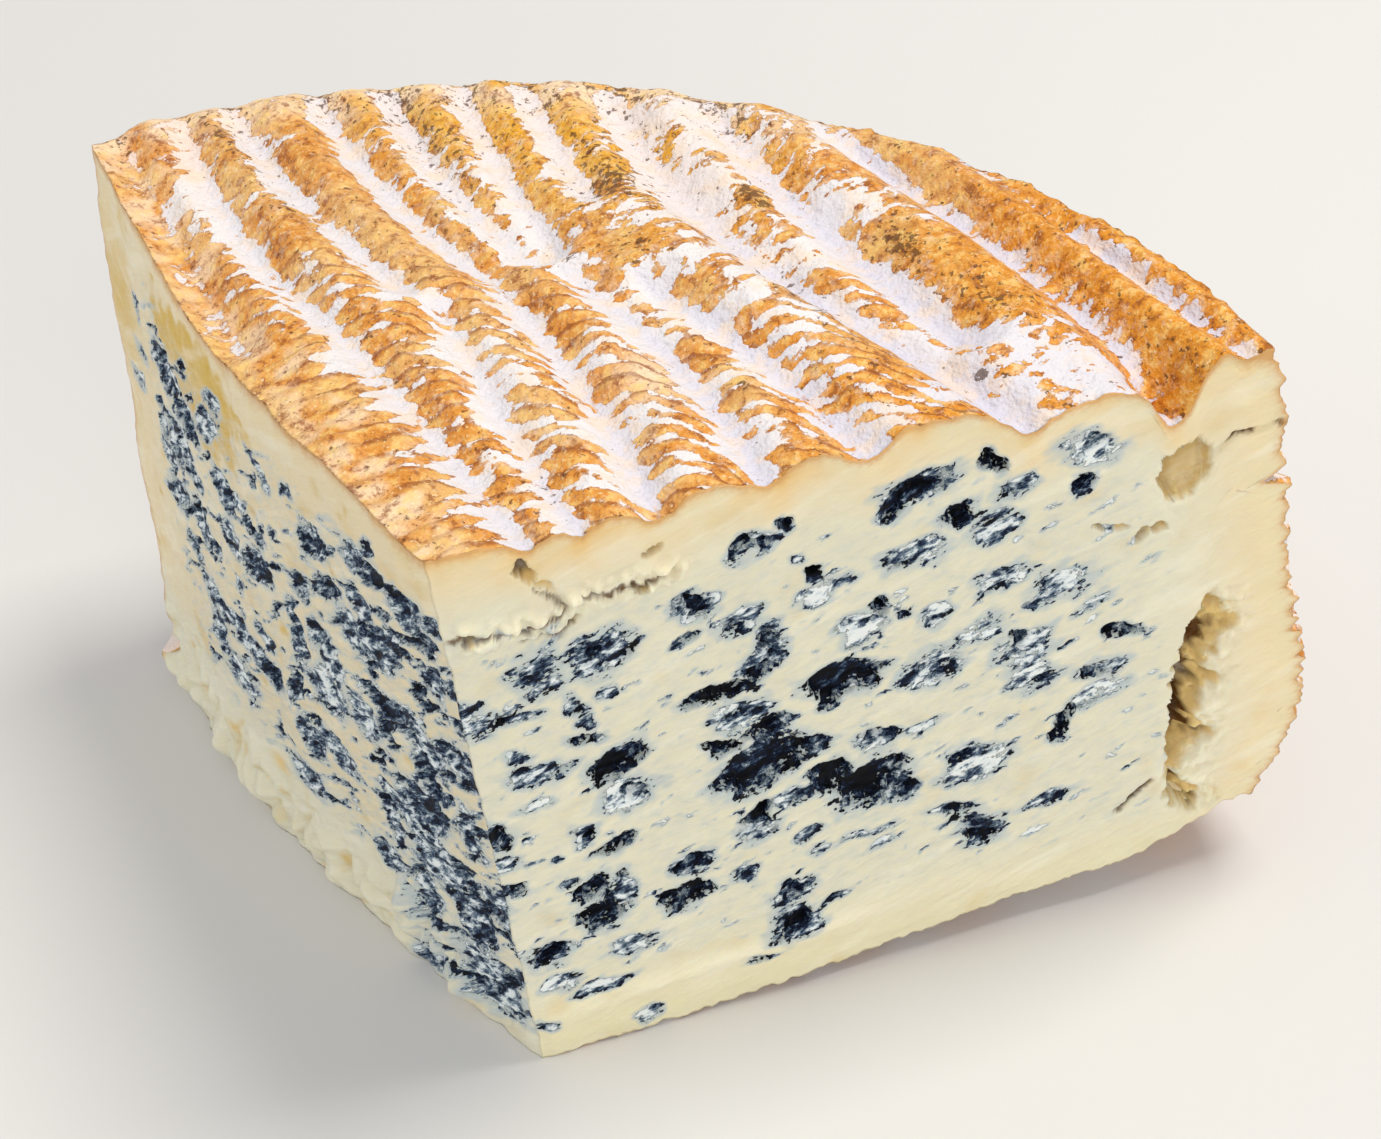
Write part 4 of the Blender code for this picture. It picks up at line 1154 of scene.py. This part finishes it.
class Nodes:
    """Short calls that add and join a material's nodes."""

    def __init__(self, name):
        self.material = bpy.data.materials.new(name)
        self.material.use_nodes = True
        self.tree = self.material.node_tree
        self.shader = self.tree.nodes["Principled BSDF"]

    def put(self, socket, value):
        if isinstance(value, bpy.types.NodeSocket):
            self.tree.links.new(value, socket)
        else:
            socket.default_value = value

    def math(self, operation, *values, clamp=False):
        node = self.tree.nodes.new("ShaderNodeMath")
        node.operation = operation
        node.use_clamp = clamp
        for socket, value in zip(node.inputs, values):
            self.put(socket, value)
        return node.outputs[0]

    def field(self, name):
        node = self.tree.nodes.new("ShaderNodeAttribute")
        node.attribute_name = name
        return node

    def value(self, name):
        return self.field(name).outputs["Fac"]

    def colour(self, name):
        return self.field(name).outputs["Color"]

    def places(self):
        """Object coordinates in millimetres."""
        coordinates = self.tree.nodes.new("ShaderNodeTexCoord").outputs["Object"]
        return self.stretched(coordinates, (1000, 1000, 1000))

    def stretched(self, vector, scale):
        node = self.tree.nodes.new("ShaderNodeVectorMath")
        node.operation = "MULTIPLY"
        self.put(node.inputs[0], vector)
        self.put(node.inputs[1], scale)
        return node.outputs[0]

    def noise(self, places, size, detail=3.0, roughness=0.55):
        """Noise from 0 to 1, with features of this size in millimetres."""
        node = self.tree.nodes.new("ShaderNodeTexNoise")
        self.put(node.inputs["Vector"], places)
        node.inputs["Scale"].default_value = 1 / size
        node.inputs["Detail"].default_value = detail
        node.inputs["Roughness"].default_value = roughness
        return node.outputs["Fac"]

    def cells(self, places, size):
        """Distance to the nearest of many scattered points, 0 in the middle of each bead."""
        node = self.tree.nodes.new("ShaderNodeTexVoronoi")
        self.put(node.inputs["Vector"], places)
        node.inputs["Scale"].default_value = 1 / size
        return node.outputs["Distance"]

    def centred(self, value):
        return self.math("SUBTRACT", value, 0.5)

    def times(self, value, factor):
        return self.math("MULTIPLY", value, factor)

    def total(self, *values):
        first, *rest = values
        for value in rest:
            first = self.math("ADD", first, value)
        return first

    def ramp(self, value, stops):
        """The colour at this value among (value, colour) stops."""
        node = self.tree.nodes.new("ShaderNodeValToRGB")
        self.put(node.inputs["Fac"], value)
        elements = node.color_ramp.elements
        for _ in stops[2:]:
            elements.new(0.5)
        for element, (position, colour) in zip(elements, stops):
            element.position = position
            element.color = (*colour, 1.0)
        return node.outputs["Color"]

    def step(self, value, low, high):
        """0 at low, 1 at high and smooth between them."""
        node = self.tree.nodes.new("ShaderNodeMapRange")
        node.interpolation_type = "SMOOTHSTEP"
        self.put(node.inputs["Value"], value)
        self.put(node.inputs["From Min"], low)
        self.put(node.inputs["From Max"], high)
        return node.outputs["Result"]

    def mixed(self, kind, share, first, second):
        node = self.tree.nodes.new("ShaderNodeMix")
        node.data_type = kind
        sockets = [socket for socket in node.inputs if socket.enabled]
        for socket, value in zip(sockets, (share, first, second)):
            self.put(socket, value)
        return [socket for socket in node.outputs if socket.enabled][0]

    def mix(self, share, first, second):
        """The first colour where share is 0, the second where it is 1."""
        colours = [(*value, 1.0) if isinstance(value, np.ndarray) else value for value in (first, second)]
        return self.mixed("RGBA", share, *colours)

    def between(self, share, first, second):
        """The first number where share is 0, the second where it is 1."""
        return self.mixed("FLOAT", share, first, second)

    def bump(self, height, distance, normal=None):
        """Relief of this many millimetres."""
        node = self.tree.nodes.new("ShaderNodeBump")
        node.inputs["Strength"].default_value = 1.0
        node.inputs["Distance"].default_value = distance * MM
        self.put(node.inputs["Height"], height)
        if normal is not None:
            self.put(node.inputs["Normal"], normal)
        return node.outputs["Normal"]


HALO = srgb(184, 196, 198)
FRESH_PASTE = srgb(250, 245, 224)
# The mould's colours, from its black hollows, which are partly dark mould and partly painted shade, to its pale
# flakes: (tone, colour)
MOULD_TONES = [
    (0.08, srgb(4, 5, 10)),
    (0.28, srgb(12, 20, 42)),
    (0.40, srgb(44, 62, 92)),
    (0.51, srgb(100, 122, 150)),
    (0.62, srgb(154, 175, 193)),
    (0.74, srgb(206, 217, 222)),
    (1.0, srgb(236, 240, 236)),
]
SUBSURFACE_RADIUS = (1.6, 1.2, 0.7)


def paste_material():
    nodes = Nodes("paste")
    places, streak = nodes.places(), nodes.field("streak").outputs["Vector"]
    ragged = nodes.centred(nodes.noise(nodes.stretched(streak, (0.5, 1, 1)), 1.3, 3.0, 0.65))
    fine = nodes.centred(nodes.noise(nodes.stretched(streak, (0.6, 1, 1)), 0.4, 2.0, 0.6))
    marbling = nodes.centred(nodes.noise(nodes.stretched(streak, (0.5, 1, 1)), 1.1, 4.0, 0.7))
    film = nodes.total(nodes.value("film"), 0.04, nodes.times(ragged, 1.3), nodes.times(fine, 1.2))
    # The hollows push the tone to black: dark mould, plus painted shade in the pockets.
    tone = nodes.total(0.64, nodes.times(marbling, 2.8), nodes.times(nodes.value("hollow"), -0.72))
    tone = nodes.math("ADD", tone, nodes.times(nodes.value("flake"), 0.85))
    tone = nodes.math("ADD", tone, nodes.times(nodes.step(film, 0.8, 0.45), 0.10))

    smear = nodes.noise(nodes.stretched(streak, (0.2, 1, 1)), 3.0, 3.0)
    colour = nodes.mix(nodes.times(nodes.step(smear, 0.5, 0.75), 0.4), nodes.colour("paste"), FRESH_PASTE)
    haze = nodes.total(nodes.value("film"), 0.02, nodes.times(ragged, 1.0))
    colour = nodes.mix(nodes.times(nodes.step(haze, -0.42, 0.42), 0.85), colour, HALO)
    colour = nodes.mix(nodes.step(film, 0.42, 0.50), colour, nodes.ramp(tone, MOULD_TONES))
    rind = nodes.step(nodes.math("ADD", nodes.value("rind_near"), nodes.times(fine, 0.5)), 0.2, 0.95)
    colour = nodes.mix(rind, colour, RIND_EDGE)
    nodes.put(nodes.shader.inputs["Base Color"], colour)

    wet = nodes.noise(places, 2.6, 3.0)
    roughness = nodes.between(nodes.step(wet, 0.4, 0.65), 0.30, 0.5)
    roughness = nodes.between(nodes.step(film, 0.4, 0.6), roughness, 0.55)
    nodes.put(nodes.shader.inputs["Roughness"], roughness)
    nodes.shader.inputs["Specular IOR Level"].default_value = 0.15
    weight = nodes.times(nodes.value("inside"), nodes.between(nodes.step(film, 0.3, 0.6), 0.35, 0.0))
    nodes.put(nodes.shader.inputs["Subsurface Weight"], weight)
    nodes.shader.inputs["Subsurface Radius"].default_value = SUBSURFACE_RADIUS
    nodes.shader.inputs["Subsurface Scale"].default_value = MM
    smears = nodes.noise(nodes.stretched(streak, (0.22, 1, 1)), 0.9, 3.0, 0.6)
    mouldy = nodes.step(film, 0.40, 0.54)
    raised = nodes.times(nodes.math("SUBTRACT", nodes.step(tone, 0.25, 0.8), 0.42), mouldy)
    relief = nodes.bump(nodes.total(raised, nodes.times(smears, 0.37)), 0.6)
    nodes.put(nodes.shader.inputs["Normal"], relief)
    return nodes.material


RIND_LIGHT = srgb(246, 206, 122)
# Pale grains that also stand in as painted glints on the glossy orange rind.
GRAIN_AND_PAINTED_GLINT = srgb(255, 232, 184)
VEIL = srgb(242, 214, 182)
BROWN_SPOT = srgb(86, 52, 24)


def rind_material():
    nodes = Nodes("rind")
    places, ridges = nodes.places(), nodes.field("streak").outputs["Vector"]
    warp = nodes.centred(nodes.noise(places, 2.6, 3.0))
    fine = nodes.centred(nodes.noise(places, 0.5, 3.0, 0.6))
    drips = nodes.centred(nodes.noise(nodes.stretched(ridges, (1, 0.45, 1)), 0.9, 3.0, 0.55))
    phase = nodes.total(nodes.value("phase"), nodes.times(warp, 1.6), nodes.times(fine, 0.5))
    turn = nodes.math("FRACT", nodes.math("DIVIDE", phase, STRIPE_PERIOD))
    wave = nodes.math("ABSOLUTE", nodes.math("SUBTRACT", nodes.times(turn, 2.0), 1.0))
    beads = nodes.times(nodes.cells(nodes.stretched(ridges, (1, 0.55, 1)), 1.3), 1.15)
    stripy = nodes.value("stripy")
    pattern = nodes.between(nodes.step(stripy, 0.2, 0.8), beads, wave)
    drips = nodes.math("MULTIPLY", drips, nodes.between(stripy, 0.7, 1.6))
    edge = nodes.total(nodes.math("SUBTRACT", nodes.value("cover"), pattern), drips)
    waviness = nodes.math("MULTIPLY", warp, nodes.between(stripy, 0.3, 1.1))
    edge = nodes.total(edge, nodes.times(fine, 1.1), waviness)
    covered = nodes.step(edge, -0.06, 0.06)

    orange = nodes.colour("orange")
    mottle = nodes.noise(places, 1.6, 5.0, 0.7)
    orange = nodes.mix(nodes.times(nodes.step(mottle, 0.52, 0.64), 0.75), orange, RUST)
    orange = nodes.mix(nodes.times(nodes.step(mottle, 0.50, 0.38), 0.6), orange, RIND_LIGHT)
    upper = nodes.times(nodes.step(turn, 0.36, 0.10), nodes.times(stripy, 0.7))
    orange = nodes.mix(upper, orange, RUST)
    outline = nodes.times(nodes.step(edge, 0.20, 0.02), 0.6)
    orange = nodes.mix(outline, orange, RUST)
    # Cream dots on the orange: pale grains and painted highlights.
    grains = nodes.noise(places, 0.42, 2.0, 0.5)
    orange = nodes.mix(nodes.times(nodes.step(grains, 0.60, 0.72), 0.5), orange, GRAIN_AND_PAINTED_GLINT)
    veil = nodes.step(nodes.math("SUBTRACT", nodes.noise(places, 1.2, 5.0, 0.7), nodes.times(edge, 0.10)), 0.42, 0.66)
    orange = nodes.mix(nodes.times(veil, 0.5), orange, VEIL)
    haze = nodes.times(nodes.step(nodes.noise(places, 3.4, 4.0, 0.65), 0.46, 0.66), 0.55)
    colour = nodes.mix(covered, nodes.mix(haze, nodes.colour("bloom"), VEIL), orange)
    spots = nodes.noise(places, 0.9, 3.0, 0.65)
    # Brown spots, darkened further where the dark field carries painted shade in the troughs near the rim.
    darkness = nodes.total(spots, nodes.times(nodes.value("dark"), 0.17), nodes.between(covered, -0.06, 0.0))
    colour = nodes.mix(nodes.times(nodes.step(darkness, 0.62, 0.70), 0.8), colour, BROWN_SPOT)
    nodes.put(nodes.shader.inputs["Base Color"], colour)

    nodes.put(nodes.shader.inputs["Roughness"], nodes.between(covered, 0.85, 0.45))
    nodes.shader.inputs["Specular IOR Level"].default_value = 0.25
    swells = nodes.noise(places, 1.4, 2.0)
    relief = nodes.bump(nodes.total(nodes.times(grains, 0.5), swells), 0.4)
    nodes.put(nodes.shader.inputs["Normal"], relief)
    return nodes.material


# ---- Floor, light and camera --------------------------------------------------------------------------


def plain_floor():
    size = 3.0
    mesh = bpy.data.meshes.new("floor")
    corners = [(-size, -size, 0), (size, -size, 0), (size, size, 0), (-size, size, 0)]
    mesh.from_pydata(corners, [], [(0, 1, 2, 3)])
    nodes = Nodes("floor")
    nodes.shader.inputs["Base Color"].default_value = (0.72, 0.70, 0.67, 1.0)
    nodes.shader.inputs["Roughness"].default_value = 0.8
    mesh.materials.append(nodes.material)
    floor = bpy.data.objects.new("floor", mesh)
    bpy.context.scene.collection.objects.link(floor)


def soft_light(name, towards, distance, size, power, colour):
    """A square area light that shines on the middle of the wedge from this direction."""
    lamp = bpy.data.lights.new(name, "AREA")
    lamp.size = size
    lamp.energy = power
    lamp.color = colour
    light = bpy.data.objects.new(name, lamp)
    away = np.array(towards) / np.linalg.norm(towards)
    middle = np.array(to_frame(MIDDLE))
    place = middle + away * distance
    side = np.cross((0, 0, 1), away)
    side = side / np.linalg.norm(side)
    up = np.cross(away, side)
    light.matrix_world = framed(side, up, away, place)
    bpy.context.scene.collection.objects.link(light)


def framed(side, up, back, place):
    """A matrix with these axes and this place."""
    rows = np.column_stack([side, up, back, place])
    return Matrix([*rows.tolist(), (0, 0, 0, 1)])


def studio():
    world = bpy.data.worlds.new("studio")
    world.use_nodes = True
    background = world.node_tree.nodes["Background"]
    background.inputs["Color"].default_value = (0.93, 0.96, 1.0, 1.0)
    background.inputs["Strength"].default_value = 0.54
    bpy.context.scene.world = world
    soft_light("key", (0.30, 0.26, 0.90), 0.9, 0.30, 5.2, (1.0, 0.97, 0.92))
    soft_light("fill", (0.75, -0.75, 0.45), 1.1, 0.9, 4.4, (1.0, 0.98, 0.95))
    soft_light("side", (-0.92, -0.30, 0.30), 1.1, 0.8, 2.6, (0.95, 0.97, 1.0))
    bpy.context.scene.view_settings.view_transform = "Standard"


def camera():
    yaw, pitch, roll = CAMERA_YAW, CAMERA_PITCH, CAMERA_ROLL
    forward = np.array([math.sin(yaw) * math.cos(pitch), math.cos(yaw) * math.cos(pitch), -math.sin(pitch)])
    level = np.array([math.cos(yaw), -math.sin(yaw), 0.0])
    upright = np.cross(level, forward)
    side = level * math.cos(roll) + upright * math.sin(roll)
    up = upright * math.cos(roll) - level * math.sin(roll)
    data = bpy.data.cameras.new("camera")
    data.sensor_width = 36.0
    data.lens = CAMERA_LENS
    data.clip_start = 0.01
    seen_from = bpy.data.objects.new("camera", data)
    seen_from.matrix_world = framed(side, up, -forward, to_frame(CAMERA_FROM_TIP))
    bpy.context.scene.collection.objects.link(seen_from)
    bpy.context.scene.camera = seen_from


# ---- The scene ------------------------------------------------------------------------------------------

# The tip's place in the frame, in millimetres: the CAD box's low corner, less the outline's own.
box_low = np.array(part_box(NODE)[0]) / MM
outline_low_x = min(
    (LEFT_CUT + profile_at(RIM_PROFILE_LEFT, share)) * LEFT_DIRECTION[0]
    + (LEFT_FLARE * (1 - share)) * LEFT_OUTWARD[0]
    for share in np.linspace(0, 1, 19)
)
TIP = np.array([box_low[0] - outline_low_x, box_low[1], box_low[2]])

paste = paste_material()
rind = rind_material()

top_points, top_fields = top_rind()
grid_piece("top_rind", (top_points, top_fields), rind)
grid_piece("right_cut", right_face(), paste)
grid_piece("left_cut", left_face(), paste)
grid_piece("rim_left", rim_rind(0.0, 0.5), rind)
grid_piece("rim_right", rim_rind(0.5, 1.0), rind)

rings = base_rings()
ring_quads, ring_border = ring_faces(*rings.shape[:2])
base_fields = rind_fields(rings[..., 0], rings[..., 1])
base_fields["inside"] = 0 * rings[..., 0]
build_piece("base_rind", rings, ring_quads, ring_border, rings[..., :2], base_fields, rind)

plain_floor()
studio()
camera()
